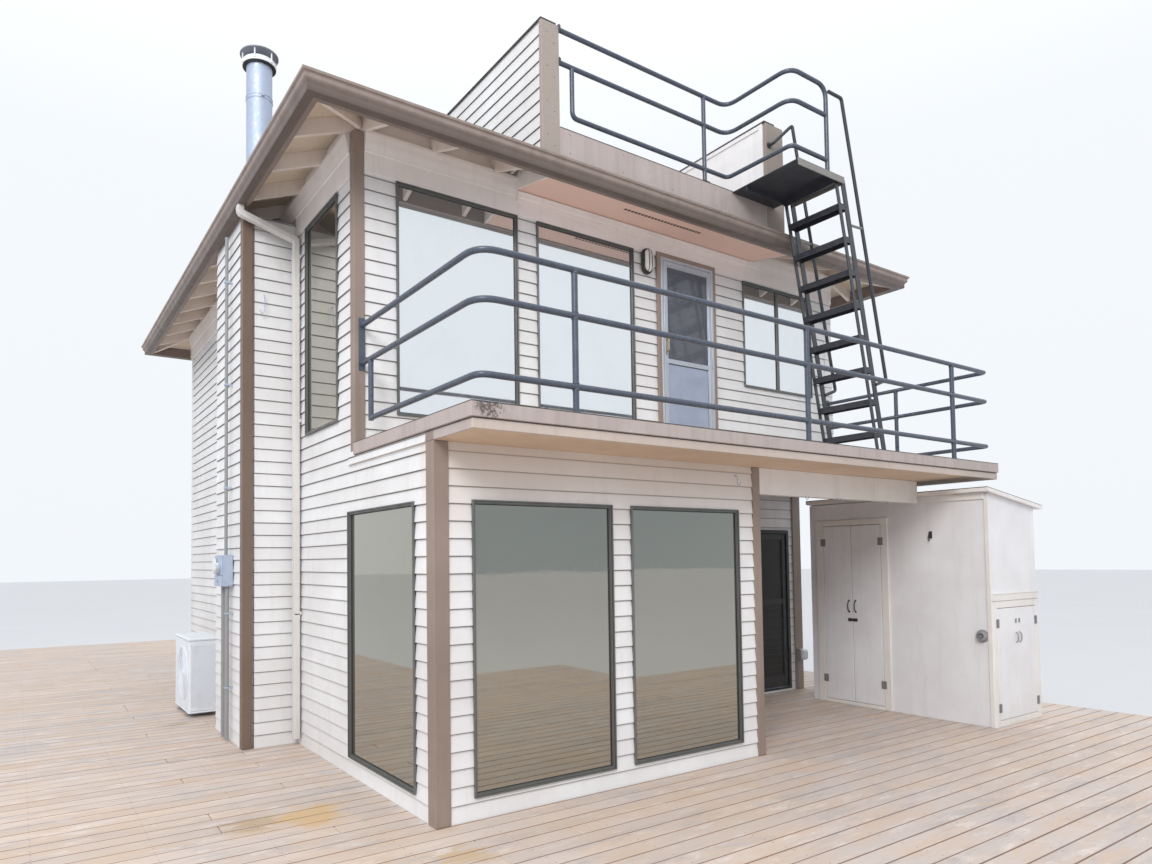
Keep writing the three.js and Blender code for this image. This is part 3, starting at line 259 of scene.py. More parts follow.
def closed_soffit(s, shade, dirt):
    """Rosy boards under the closed part of the eaves and a brown edge all round."""
    x0, x1 = ORIGIN.x + CLOSED[0], ORIGIN.x + CLOSED[1]
    across = s.product(s.math("GREATER_THAN", s.x, x0), s.less(s.x, x1))
    under = s.product(across, s.less(s.y, ORIGIN.y + 1.34), s.less(s.upward(), -0.5))
    shade = s.mix(under, shade, (0.84, 0.58, 0.49))
    x_edge = s.math("MINIMUM", s.past("x", EAVE[0]), s.short_of("x", EAVE[1]))
    y_edge = s.math("MINIMUM", s.past("y", EAVE[2]), s.short_of("y", EAVE[3]))
    return s.mix(s.less(s.math("MINIMUM", x_edge, y_edge), 0.042), shade, (0.2, 0.15, 0.128))


def paint(name, base, dirt, rough=0.5, grain=0.35, extra=None):
    """Brushed house paint over wood: faint grain along the boards, weather marks and worn spots."""
    s = Shade(name, rough)
    wood = s.noise(9, 6, 0.65, PAINT_GRAIN)
    shade = s.layer(base, s.noise(1.3, 4, 0.6), 0.35, 0.7, 0.5, dirt)
    shade = s.layer(shade, s.noise(2.2, 5, 0.7, PAINT_RUNS), 0.52, 0.8, 0.45, dirt)
    if extra:
        shade = extra(s, shade, dirt)
    s.colour(s.mix(s.ramp(wood, (0.3, 0.1), (0.7, 0)), shade, dirt))
    s.rough(s.noise(24, 3), 0.3, rough - 0.08, 0.7, rough + 0.1)
    s.bump(wood, grain, 0.0015)
    s.bump(s.noise(60, 2), 0.08, 0.0006)
    return s.material


def plank_wood(name, light, dark, stain, along="x", rough=0.72, worn=0.5):
    """Weathered boards: grain along the board, checks, foot traffic and a tone for each board."""
    s = Shade(name, rough)
    run = (0.7, 22, 22) if along == "x" else (22, 0.7, 22)
    grain = s.noise(5.5, 8, 0.7, run, 0.35)
    fine = s.noise(26, 4, 0.6, run)
    board = s.layer(s.mix(s.tone(), light, dark), grain, 0.42, 0.72, 0.5, dark)
    board = s.layer(board, s.noise(0.55, 5, 0.6), 0.4, 0.68, worn, stain)
    s.board = s.layer(board, fine, 0.62, 0.8, 0.25, dark)
    s.colour(s.board)
    s.rough(s.noise(3, 4), 0.3, rough - 0.14, 0.75, rough + 0.08)
    s.bump(grain, 0.35, 0.0022)
    s.bump(fine, 0.2, 0.0008)
    return s


# Deck: board pitch and width, first board's edge, joist pitch, and the spills (place, radii, colour)
BOARD_PITCH = 0.146
BOARD_W = 0.143
DECK_FRONT = -5.555
JOIST_PITCH = 0.61
SPILLS = (
    ((-0.93, 0.78, 0), 0.06, 0.24, (0.44, 0.31, 0.18)),
    ((-0.56, 0.745, 0), 0.08, 0.27, (0.6, 0.39, 0.17)),
    ((-0.84, 4.4, 0), 0.03, 0.18, (0.36, 0.3, 0.21)),
    ((-0.03, -0.51, 0), 0.04, 0.2, (0.52, 0.36, 0.2)),
)


def board_phase(s):
    """Where a point lies across its deck board, 0 to 1."""
    return s.repeat(s.past("y", DECK_FRONT), BOARD_PITCH)


def screw_dots(s):
    """Two sunk screws a board over each joist."""
    def off(value, centre):
        return s.math("ABSOLUTE", s.math("SUBTRACT", value, centre))

    dx = s.product(off(s.repeat(s.past("x", 0), JOIST_PITCH), 0.5), JOIST_PITCH)
    dy = s.product(off(off(board_phase(s), 0.5), 0.3), BOARD_PITCH)
    gone = s.math("SQRT", s.math("ADD", s.product(dx, dx), s.product(dy, dy)))
    return s.ramp(s.product(gone, 100.0), (0, 1), (0.35, 1), (0.55, 0))


def metal_paint(name, base, chip, rough=0.38):
    """Enamel on steel: drips in the film, paler dull patches and a few rusted chips."""
    s = Shade(name, rough)
    patch = s.noise(14, 6, 0.7)
    spots = s.noise(55, 5, 0.75)
    shade = s.layer(base, patch, 0.35, 0.75, 0.55, scaled(base, 1.5, 0.02))
    rust = s.product(s.ramp(spots, (0.6, 0), (0.7, 1)), s.ramp(patch, (0.55, 0), (0.65, 1)))
    s.colour(s.mix(rust, shade, chip))
    s.rough(spots, 0.3, rough - 0.06, 0.75, rough + 0.22)
    s.bump(s.noise(38, 3), 0.12, 0.0012)
    s.bump(rust, 0.3, 0.0006)
    return s.material


def sheet_metal(name, base, dirt, rough, metal, cells=None):
    """Rolled sheet: soft dents, run-off stains and, on zinc, its crystals."""
    s = Shade(name, rough, metal)
    stain = s.noise(3, 5, 0.65, METAL_RUNS)
    shade = s.layer(base, stain, 0.4, 0.8, 0.6, dirt)
    if cells:
        crystal = s.node("TexVoronoi", {"Scale": cells, "Vector": s.coord}).outputs["Distance"]
        shade = s.layer(shade, crystal, 0.1, 0.7, 0.3, scaled(base, 1.2))
        s.rough(crystal, 0.05, rough - 0.1, 0.6, rough + 0.12)
    else:
        s.rough(stain, 0.3, rough - 0.05, 0.7, rough + 0.15)
    s.colour(shade)
    s.bump(s.noise(4, 2), 0.15, 0.004)
    s.bump(s.noise(90, 2), 0.05, 0.0004)
    return s.material


def film_glass(name, tint, metal=0.9, rough=0.02):
    """Reflective pane, with the slight waves of a sealed unit and faint darker patches."""
    s = Shade(name, rough, metal)
    s.colour(s.layer(tint, s.noise(2.4, 6, 0.7), 0.5, 0.85, 0.3, scaled(tint, 0.82)))
    s.rough(s.noise(8, 5, 0.7), 0.45, rough, 0.8, rough + 0.05)
    s.bump(s.noise(1.1, 1), 0.25, 0.006)
    return s.material


def clear_glass(name, tint, alpha, haze):
    s = Shade(name, haze)
    smear = s.noise(5, 5, 0.7)
    s.colour(s.layer(tint, smear, 0.4, 0.8, 0.6, scaled(tint, 1.25)))
    s.rough(smear, 0.4, haze, 0.8, haze + 0.1)
    s.bsdf.inputs["Alpha"].default_value = alpha
    return s.material


def mesh_screen(name, base):
    """Woven security mesh, close enough to read as a dark veil."""
    s = Shade(name, 0.5, 0.4)
    wires = [s.node("TexWave", {"Scale": 160, "Vector": s.coord}, bands_direction=way).outputs["Fac"]
             for way in "XZ"]
    weave = s.math("MAXIMUM", *wires)
    s.colour(s.layer(scaled(base, 0.4), weave, 0.5, 0.9, 1.0, base))
    s.bump(weave, 0.3, 0.0006)
    return s.material


def plastic(name, base, rough, dirt=(0.4, 0.38, 0.35)):
    s = Shade(name, rough)
    grime = s.noise(4, 5, 0.7)
    s.colour(s.layer(base, grime, 0.5, 0.85, 0.35, dirt))
    s.rough(grime, 0.3, rough, 0.8, rough + 0.2)
    s.bump(s.noise(220, 2), 0.08, 0.0003)
    return s.material


def lamp_glass(name, base):
    s = Shade(name, 0.25)
    s.colour(s.mix(s.noise(18, 3), base, scaled(base, 0.86)))
    s.bump(s.noise(60, 2), 0.2, 0.001)
    return s.material


def roof_board():
    """Dark roofing above, pale sheathing boards below."""
    s = Shade("roof_board", 0.85)
    grit = s.noise(150, 3, 0.7)
    above = s.layer((0.17, 0.155, 0.145), s.noise(1.2, 5, 0.6), 0.35, 0.7, 0.7, (0.1, 0.09, 0.085))
    above = s.layer(above, grit, 0.45, 0.7, 0.35, (0.26, 0.245, 0.235))
    seam = s.ramp(s.repeat(s.y, 0.92), (0, 0.6), (0.02, 0))
    above = s.mix(seam, above, (0.06, 0.055, 0.05))
    wood = s.noise(5, 6, 0.65, (0.8, 20, 20))
    below = s.layer((0.74, 0.64, 0.51), wood, 0.4, 0.75, 0.6, (0.56, 0.45, 0.34))
    s.colour(s.mix(s.ramp(s.upward(), (0, 0), (0.02, 1)), below, above))
    s.bump(grit, 0.4, 0.002)
    return s.material


def deck_wood():
    """Worn deck boards: ochre and grey patches, dark joints, rusty screws and a few spills."""
    s = plank_wood("deck_wood", (0.64, 0.53, 0.46), (0.54, 0.44, 0.375), (0.53, 0.485, 0.48), "x", 0.66, 0.6)
    board = s.board
    for noise, low, high, strength, colour in (
            ((2.6, 7, 0.72, (0.7, 1.8, 1)), 0.46, 0.62, 0.55, (0.6, 0.43, 0.3)),
            ((1.9, 8, 0.78, (0.5, 2.4, 1), 0.4), 0.5, 0.62, 0.6, (0.41, 0.375, 0.37)),
            ((3.7, 6, 0.8, (0.8, 2.2, 1)), 0.54, 0.66, 0.5, (0.78, 0.72, 0.68))):
        board = s.layer(board, s.noise(*noise), low, high, strength, colour)
    rim = s.product(s.math("SUBTRACT", s.noise(5.0, 8, 0.78, (0.45, 2.4, 1)), 0.5), 1.1)
    for at, inner, outer, colour in SPILLS:
        board = s.layer(board, s.near(at, inner, outer, rim), 0.4, 0.7, 0.72, colour)
    joint = s.ramp(board_phase(s), (0, 0.9), (0.014, 0.9), (0.03, 0), (0.93, 0), (0.945, 0.9))
    board = s.mix(joint, board, (0.2, 0.115, 0.08))
    s.colour(s.mix(screw_dots(s), board, (0.22, 0.15, 0.11)))
    return s.material


def gutter_enamel():
    """Brown enamel, with painted shade darkening the flat lower band and underneath."""
    s = Shade("gutter_enamel", 0.42, 0.1)
    stain = s.noise(3, 5, 0.65, METAL_RUNS)
    shade = s.layer((0.3, 0.24, 0.213), stain, 0.4, 0.8, 0.6, (0.19, 0.145, 0.122))
    # Painted shade: the lowest eight centimetres of the gutter, in shadow under the eaves, made dark brown.
    band = s.ramp(s.past("z", EAVE_FOOT), (0.005, 0.85), (0.055, 0.62), (0.08, 0))
    s.colour(s.mix(band, shade, (0.095, 0.068, 0.056)))
    s.rough(stain, 0.3, 0.37, 0.7, 0.57)
    s.bump(s.noise(4, 2), 0.15, 0.004)
    return s.material


def curb_paint():
    """Taupe paint on the balcony's edge, worn through to dark wood at the left corner."""
    s = Shade("curb_paint", 0.52)
    grain = s.noise(9, 6, 0.65, PAINT_GRAIN)
    shade = s.layer((0.435, 0.368, 0.348), s.noise(2.2, 5, 0.7, PAINT_RUNS), 0.45, 0.8, 0.6,
                    (0.29, 0.238, 0.22))
    shade = s.layer(shade, s.noise(3.0, 5, 0.7), 0.52, 0.7, 0.35, (0.55, 0.5, 0.485))
    worn = s.product(s.near((0.1, c(-4.45), c(22.8)), 0.05, 0.34), s.noise(48, 8, 0.8))
    s.colour(s.layer(shade, worn, 0.42, 0.5, 0.9, (0.075, 0.055, 0.045)))
    s.rough(grain, 0.3, 0.44, 0.7, 0.62)
    s.bump(grain, 0.45, 0.0015)
    return s.material


def log_wood():
    s = plank_wood("log_wood", (0.105, 0.075, 0.052), (0.045, 0.032, 0.024), (0.06, 0.075, 0.04), "y", 0.85,
                   0.8)
    s.bump(s.noise(3, 6, 0.7, (4, 0.5, 4)), 0.8, 0.02)
    return s.material


SIDING = paint("siding_paint", (0.8, 0.8, 0.81), (0.58, 0.55, 0.53), 0.5, 0.4, lap_shadows)
FLAT_SIDING = paint("flat_siding_paint", (0.8, 0.765, 0.735), (0.57, 0.52, 0.47), 0.5, 0.25)
TRIM = paint("trim_paint", (0.305, 0.235, 0.2), (0.17, 0.125, 0.1), 0.52, 0.6)
# Trim paint darkened with painted shade, for the chase corner post in the eave's shadow.
CHASE_POST_SHADED = paint("chase_post_painted_shade", (0.185, 0.128, 0.097), (0.11, 0.075, 0.055), 0.52, 0.6)
SOFFIT = paint("soffit_paint", (0.8, 0.52, 0.43), (0.55, 0.36, 0.29), 0.55, 0.3)
SHED_PAINT = paint("panel_paint", (0.83, 0.825, 0.845), (0.6, 0.575, 0.57), 0.48, 0.2)
BALCONY_COAT = plastic("balcony_coating", (0.66, 0.55, 0.47), 0.75, (0.5, 0.42, 0.37))
# Frieze paint: the frieze's own pale colour, lifted further as painted light for the bright bounce under the
# eaves.
FRIEZE = paint("frieze_paint", (0.87, 0.82, 0.8), (0.62, 0.55, 0.51), 0.5, 0.3)
EAVE_PAINT = paint("eave_paint", (0.84, 0.75, 0.69), (0.54, 0.45, 0.39), 0.5, 0.3, closed_soffit)
CURB_PAINT = curb_paint()
SHED_TRIM_PAINT = paint("shed_trim_paint", (0.84, 0.81, 0.79), (0.6, 0.55, 0.5), 0.5, 0.3)
FASCIA_PAINT = paint("fascia_paint", (0.56, 0.475, 0.42), (0.39, 0.315, 0.27), 0.52, 0.4)
# Plywood under the balcony: its own warm colour, made warmer still with painted bounce light from the deck.
PLY = paint("painted_plywood", (0.7, 0.53, 0.39), (0.5, 0.35, 0.23), 0.58, 0.55)
DECK = deck_wood()
TIMBER = plank_wood("timber", (0.26, 0.19, 0.13), (0.14, 0.1, 0.07), (0.18, 0.15, 0.12), "x", 0.75).material
POST_WOOD = plank_wood("weathered_post", (0.4, 0.34, 0.3), (0.25, 0.2, 0.17), (0.32, 0.3, 0.28), "y",
                       0.7).material
LOG = log_wood()
RAIL = metal_paint("rail_paint", (0.058, 0.072, 0.1), (0.16, 0.075, 0.04), 0.24)
LADDER = metal_paint("ladder_paint", (0.03, 0.033, 0.042), (0.13, 0.06, 0.035), 0.3)
LADDER_EDGE = metal_paint("ladder_edge", (0.2, 0.19, 0.18), (0.14, 0.07, 0.04), 0.4)
GUTTER = gutter_enamel()
FLASHING = sheet_metal("flashing", (0.13, 0.12, 0.12), (0.07, 0.06, 0.055), 0.5, 0.5)
ROOF_BOARD = roof_board()
ROOFING = paint("roofing", (0.16, 0.145, 0.135), (0.09, 0.08, 0.075), 0.85, 0.6)
# Galvanised steel: grey with a blue cast that is partly painted reflection of the sky.
ZINC = sheet_metal("zinc", (0.46, 0.52, 0.64), (0.33, 0.36, 0.42), 0.52, 0.6, cells=22)
CAP_METAL = sheet_metal("cap_metal", (0.3, 0.31, 0.35), (0.2, 0.2, 0.23), 0.5, 0.3)
CAP_BAND = sheet_metal("cap_band", (0.84, 0.84, 0.87), (0.62, 0.62, 0.65), 0.5, 0.1)
SPOUT = sheet_metal("spout_enamel", (0.7, 0.68, 0.66), (0.5, 0.46, 0.42), 0.45, 0.1)
BRONZE = sheet_metal("window_frame", (0.165, 0.168, 0.163), (0.1, 0.105, 0.1), 0.36, 0.5)
HINGE = sheet_metal("hinge_steel", (0.32, 0.315, 0.31), (0.15, 0.14, 0.13), 0.42, 0.5)
GASKET = plastic("gasket", (0.02, 0.02, 0.02), 0.6, (0.06, 0.055, 0.05))
PANE = film_glass("window_glass", (0.8, 0.83, 0.85))
# The same window glass with a darker, warmer tint: a painted reflection of the deck in the lower panes.
LOWER_PANE_PAINTED_REFLECTION = film_glass("lower_window_glass_painted_reflection", (0.4, 0.385, 0.335))
DARK_PANE = film_glass("porch_glass", (0.05, 0.055, 0.06), 0.5, 0.04)
CLEAR = clear_glass("door_glass", (0.15, 0.16, 0.19), 0.62, 0.03)
HAZY = clear_glass("door_screen_glass", (0.37, 0.42, 0.54), 0.85, 0.1)
DOOR_METAL = sheet_metal("door_enamel", (0.5, 0.54, 0.6), (0.36, 0.37, 0.4), 0.38, 0.35)
BLACK = metal_paint("black_enamel", (0.022, 0.022, 0.022), (0.06, 0.05, 0.04), 0.4)
SCREEN = mesh_screen("security_mesh", (0.045, 0.043, 0.04))
WHITE = plastic("appliance_white", (0.76, 0.79, 0.84), 0.4)
GREY = plastic("fitting_grey", (0.27, 0.27, 0.28), 0.45)
LENS = lamp_glass("lamp_lens", (0.78, 0.77, 0.74))
IRON = metal_paint("hardware_black", (0.03, 0.03, 0.03), (0.12, 0.07, 0.04), 0.45)
BRASS = sheet_metal("handle_metal", (0.45, 0.38, 0.28), (0.22, 0.18, 0.13), 0.35, 0.9)

SLOT_MATERIAL = {
    "siding_paint": SIDING, "trim_paint": TRIM, "deck_wood": DECK, "timber": TIMBER, "log_wood": LOG,
    "rail_steel": RAIL, "ladder_steel": LADDER, "roofing": ROOFING, "gutter_metal": GUTTER,
    "spout_metal": SPOUT, "window_glass": PANE, "galvanized": ZINC, "panel_paint": SHED_PAINT,
    "door_metal": DOOR_METAL, "slider_metal": BLACK, "appliance_metal": WHITE,
}
NODE_MATERIAL = {"roof_frame": EAVE_PAINT, "roof_sheet": ROOF_BOARD, "rear_door_frame": TRIM}
for entry in frame["record"]["subparts"]:
    given = NODE_MATERIAL.get(entry["node"]) or SLOT_MATERIAL[entry["material_slot"]]
    for holder in nodes[entry["node"]].material_slots:
        holder.material = given


def make_world():
    """Soft overcast light, bright overhead, with a dim shore behind the camera for the panes to mirror."""
    world = bpy.data.worlds.new("overcast")
    bpy.context.scene.world = world
    g = Graph(world, "Generated")
    sky = g.ramp(g.z, (0, (0.64, 0.665, 0.695)), (0.45, (0.655, 0.68, 0.708)), (1, (0.97, 0.985, 1)))
    fades = []
    for factor, low, high in ((g.y, -0.75, -0.25), (g.z, 0.05, 0.2)):
        limits = {"Value": factor, "From Min": low, "From Max": high, "To Min": 1.0, "To Max": 0.0}
        fades.append(g.node("MapRange", limits, interpolation_type="SMOOTHSTEP").outputs["Result"])
    view = g.mix(g.product(*fades), sky, (0.33, 0.385, 0.43))
    light = g.node("Background", {"Color": view, "Strength": 1.4})
    g.node("OutputWorld", {"Surface": light.outputs[0]})
    bpy.context.scene.view_settings.view_transform = "Standard"


def make_light(name, at, aim, size, power):
    data = bpy.data.lights.new(name, "AREA")
    data.shape = "DISK"
    data.size = size
    data.energy = power
    lamp = link_object(name, data)
    lamp.location = at
    lamp.rotation_euler = (Vector(aim) - Vector(at)).to_track_quat("-Z", "Y").to_euler()


def make_floor():
    half = 120.0
    corners = ((-half, -half), (half, -half), (half, half), (-half, half))
    mesh = bpy.data.meshes.new("studio_floor")
    mesh.from_pydata([(x, y, WATERLINE) for x, y in corners], [], [(0, 1, 2, 3)])
    s = Shade("studio_floor", 0.7)
    s.colour(s.mix(s.noise(0.4, 4), (0.6, 0.61, 0.63), (0.64, 0.645, 0.66)))
    mesh.materials.append(s.material)
    floor = link_object("studio_floor", mesh)


make_camera()
make_world()
make_light("key", (-14, -16, 15), (0.5, 0, 3), 9, 2600)
make_floor()


def box_faces():
    """Faces of a block with eased edges: six flats, twelve edge strips and eight corners."""
    def at(axis, side, p, q, flat):
        key = [0, 0, 0]
        key[axis], key[(axis + 1) % 3], key[(axis + 2) % 3] = side, p, q
        return 3 * (4 * key[0] + 2 * key[1] + key[2]) + flat

    faces = []
    turn = ((0, 0), (1, 0), (1, 1), (0, 1))
    for a in range(3):
        one, two = (a + 1) % 3, (a + 2) % 3
        faces += [[at(a, side, p, q, a) for p, q in turn] for side in (0, 1)]
        faces += [[at(a, 0, p, q, one), at(a, 1, p, q, one), at(a, 1, p, q, two), at(a, 0, p, q, two)]
                  for p, q in turn]
    return faces + [[3 * k, 3 * k + 1, 3 * k + 2] for k in range(8)]


BOX_FACES = box_faces()


class Build:
    """Faces of one piece, in house coordinates, each with a material number and a tone."""

    def __init__(self):
        self.verts = []
        self.faces = []
        self.slots = []
        self.tones = []

    def add(self, verts, faces, slot=0, tone=0.0):
        base = len(self.verts)
        self.verts += [tuple(v) for v in verts]
        self.tones += [tone] * len(verts)
        self.faces += [tuple(base + i for i in face) for face in faces]
        self.slots += [slot] * len(faces)

    def box(self, x, y, z, slot=0, edge=0.002, tone=0.0):
        """A board or block with eased edges: x, y and z are (from, to)."""
        sides = (x, y, z)
        e = min([edge] + [0.3 * abs(b - a) for a, b in sides])
        verts = []
        for corner in np.ndindex(2, 2, 2):
            for flat in range(3):
                eased = [0 if i == flat else (-e if corner[i] else e) for i in range(3)]
                verts.append([sides[i][corner[i]] + eased[i] for i in range(3)])
        self.add(verts, BOX_FACES, slot, tone)

    def prism(self, axis, points, a0, a1, slot=0, tone=0.0):
        """A polygon in the two other axes, drawn out along one."""
        def place(u, v, w):
            return {"x": (w, u, v), "y": (u, w, v), "z": (u, v, w)}[axis]
        self.loft([[place(u, v, w) for u, v in points] for w in (a0, a1)], slot, tone)

    def loft(self, rings, slot=0, tone=0.0, loop=False):
        """Rings of equal length joined into a skin, closed by end caps or as a loop."""
        n, count = len(rings[0]), len(rings)
        faces = [] if loop else [range(n), range((count - 1) * n, count * n)]
        for i in range(count if loop else count - 1):
            here, after = i * n, (i + 1) % count * n
            faces += [(here + k, here + (k + 1) % n, after + (k + 1) % n, after + k) for k in range(n)]
        self.add([v for ring in rings for v in ring], faces, slot, tone)

    def tube(self, points, radius, slot=0, sides=16, bend=0.0):
        """A round bar or pipe through points, with bent corners."""
        path = rounded(points, bend)
        rings = []
        side = None
        for i, p in enumerate(path):
            ahead = (path[min(i + 1, len(path) - 1)] - p).normalized()
            behind = (p - path[max(i - 1, 0)]).normalized()
            along = (ahead + behind).normalized()
            if side is None:
                side = along.orthogonal() if abs(along.z) > 0.95 else along.cross(Vector((0, 0, 1)))
            side = (side - along * side.dot(along)).normalized()
            up = side.cross(along).normalized()
            inner = 0 < i < len(path) - 1
            grow = 1.0 / max(0.3, math.sqrt((1 + ahead.dot(behind)) / 2)) if inner else 1.0
            ring = []
            for k in range(sides):
                a = 2 * math.pi * (k + 0.5) / sides
                ring.append(p + side * (math.cos(a) * radius) * grow + up * (math.sin(a) * radius))
            rings.append(ring)
        self.loft(rings, slot)

    def turned(self, profile, at, along=(0, 0, 1), slot=0, sides=24):
        """A turned shape: (radius, distance) pairs from at, along a direction."""
        along = Vector(along).normalized()
        side = along.orthogonal().normalized()
        up = along.cross(side)
        rings = []
        for r, t in profile:
            turns = [2 * math.pi * k / sides for k in range(sides)]
            rings.append([Vector(at) + along * t + (side * math.cos(a) + up * math.sin(a)) * max(r, 1e-4)
                          for a in turns])
        self.loft(rings, slot)

    def flange(self, at, along, r, lip, bore, sides, slot=0):
        """A round cover plate where a pipe meets a wall."""
        self.turned([(r, 0), (r, 0.004), (lip, 0.006), (bore, 0.007)], at, along, slot, sides)

    def screw(self, at, along, r=0.004, slot=0):
        self.turned([(r, -0.0005), (r, 0.001), (r * 0.7, 0.0022), (r * 0.2, 0.0026)], at, along, slot, 10)


def rounded(points, bend, steps=6):
    """The points with each corner turned into a short arc that starts bend before it."""
    pts = [Vector(p) for p in points]
    if not bend:
        return pts
    path = [pts[0]]
    for before, at, after in zip(pts, pts[1:], pts[2:]):
        reach = min(bend, (before - at).length / 2.2, (after - at).length / 2.2)
        start = at + (before - at).normalized() * reach
        end = at + (after - at).normalized() * reach
        for k in range(steps + 1):
            t = k / steps
            path.append(start * (1 - t) ** 2 + at * 2 * t * (1 - t) + end * t ** 2)
    return path + [pts[-1]]


def make(name, build, materials, stands_for=(), body="home", sharp=32):
    mesh = bpy.data.meshes.new(name)
    mesh.from_pydata([Vector(v) + ORIGIN for v in build.verts], [], build.faces)
    for material in materials:
        mesh.materials.append(material)
    mesh.polygons.foreach_set("material_index", build.slots)
    tone = mesh.attributes.new("tone", "FLOAT", "POINT")
    tone.data.foreach_set("value", build.tones)
    shell = bmesh.new()
    shell.from_mesh(mesh)
    bmesh.ops.recalc_face_normals(shell, faces=shell.faces)
    shell.to_mesh(mesh)
    shell.free()
    mesh.polygons.foreach_set("use_smooth", [True] * len(mesh.polygons))
    mesh.set_sharp_from_angle(angle=math.radians(sharp))
    piece = link_object(name, mesh)
    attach(piece, body)
    if stands_for:
        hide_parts(*stands_for)
    return piece


# Deck and float
DECK_X = (c(-26), c(66))
DECK_Y = (DECK_FRONT, 14.31)
SLIP = (5.086, -3.886)
PLANK_T = 0.038
LOG_D = 0.7
LOG_Z = -0.698
LOG_SIDES, LOG_STEPS = 28, 26


def deck_planks():
    b = Build()
    y = DECK_Y[0]
    while y < DECK_Y[1] - 0.02:
        y1 = min(y + BOARD_W, DECK_Y[1])
        if y < SLIP[1] < y1:
            spans = [(DECK_X[0], SLIP[0], y), (SLIP[0], DECK_X[1], SLIP[1])]
        else:
            spans = [(DECK_X[0], SLIP[0] if y1 <= SLIP[1] + 0.001 else DECK_X[1], y)]
        for start, stop, y0 in spans:
            x = start
            while x < stop - 0.01:
                reach = JOIST_PITCH * rng.choice((5, 6, 7, 8))
                if x == start:
                    reach = JOIST_PITCH * rng.choice((3, 4, 5, 6, 7)) + 0.02
                end = stop if stop - x - reach < 1.2 else x + reach
                low = rng.uniform(0, 0.0012)
                b.box((x, end - (0.004 if end < stop else 0)), (y0, y1), (-PLANK_T, -low), edge=0.004,
                      tone=rng.random() ** 1.6)
                x = end
        y += BOARD_PITCH
    make("deck_planks", b, [DECK], ("deck_boards",))


def log_float():
    b = Build()
    pitch = (DECK_X[1] - DECK_X[0] - LOG_D - 0.06) / 11
    for i in range(12):
        x = DECK_X[0] + LOG_D / 2 + 0.03 + i * pitch
        y0 = (SLIP[1] if x + LOG_D / 2 > SLIP[0] else DECK_Y[0]) + 0.06
        length = DECK_Y[1] - 0.06 - y0
        shape = [rng.uniform(0.955, 0.985) for _ in range(LOG_SIDES)]
        rings = []
        for j in range(LOG_STEPS + 1):
            swell = 0.985 + 0.012 * math.sin(j * 0.7 + i) - 0.02 * j / LOG_STEPS
            ring = []
            for k in range(LOG_SIDES):
                a = 2 * math.pi * k / LOG_SIDES
                r = LOG_D / 2 * shape[k] * swell * (1 + 0.008 * math.sin(3 * a + j * 0.4 + i))
                ring.append((x + math.cos(a) * r, y0 + length * j / LOG_STEPS, LOG_Z + math.sin(a) * r))
            rings.append(ring)
        b.loft(rings, tone=rng.random())
    for i in range(7):
        y = DECK_Y[0] + 0.5 + i * (DECK_Y[1] - DECK_Y[0] - 1.0) / 6
        x1 = SLIP[0] if y < SLIP[1] + 0.2 else DECK_X[1]
        b.box((DECK_X[0] + 0.047, x1 - 0.047), about(y, 0.12), (-0.378, -0.179), 1, 0.012, rng.random())
    make("log_float", b, [LOG, TIMBER], ("float_logs",), sharp=50)


deck_planks()
log_float()


# Windows: the way each looks, its wall, (along from, to, up from, to) and where it is split
FRONT_Y = 0.0
UPPER_Y = 1.349
HOUSE_X = 6.218
HOUSE_Y = 8.081
LOW_OPENING = (c(1.29), c(18.2))
WINDOWS = {
    "window_front_left": ("y", FRONT_Y, (c(2.44), c(12.87), *LOW_OPENING), None),
    "window_front_right": ("y", FRONT_Y, (c(14.53), c(24.97), *LOW_OPENING), None),
    "window_left_low": ("x", 0, (c(2.57), c(13.08), *LOW_OPENING), None),
    "window_left_tall": ("x", 0, (c(15.2), c(22.4), c(25), c(41.8)), None),
    "window_upper_left": ("y", UPPER_Y, (c(3.16), c(13.54), c(25.2), c(42.1)), None),
    "window_upper_middle": ("y", UPPER_Y, (c(15.47), c(25.8), c(25.2), c(42.1)), None),
    "window_upper_right": ("y", UPPER_Y, (c(40.2), c(50.7), c(31.55), c(42)), c(45.4)),
    "window_rear": ("-y", HOUSE_Y, (c(28), c(42), c(29), c(41.8)), c(35)),
    "window_right": ("-x", HOUSE_X, (c(34), c(46), c(29), c(41.8)), c(40)),
}
# Nested frames of a window: face width, depth from and to, slot, inset from the opening and eased edge
WINDOW_RINGS = (
    (0.01, -0.0155, 0.003, 0, -0.0055, 0.0015),
    (0.0045, -0.007, 0.088, 1, 0, 0.001),
    (0.0125, -0.006, 0.07, 0, 0.0046, 0.0015),
    (0.0045, 0.001, 0.06, 0, 0.0172, 0.0015),
    (0.0035, 0.008, 0.056, 1, 0.0218, 0.001),
)
WINDOW_GAP = 0.002


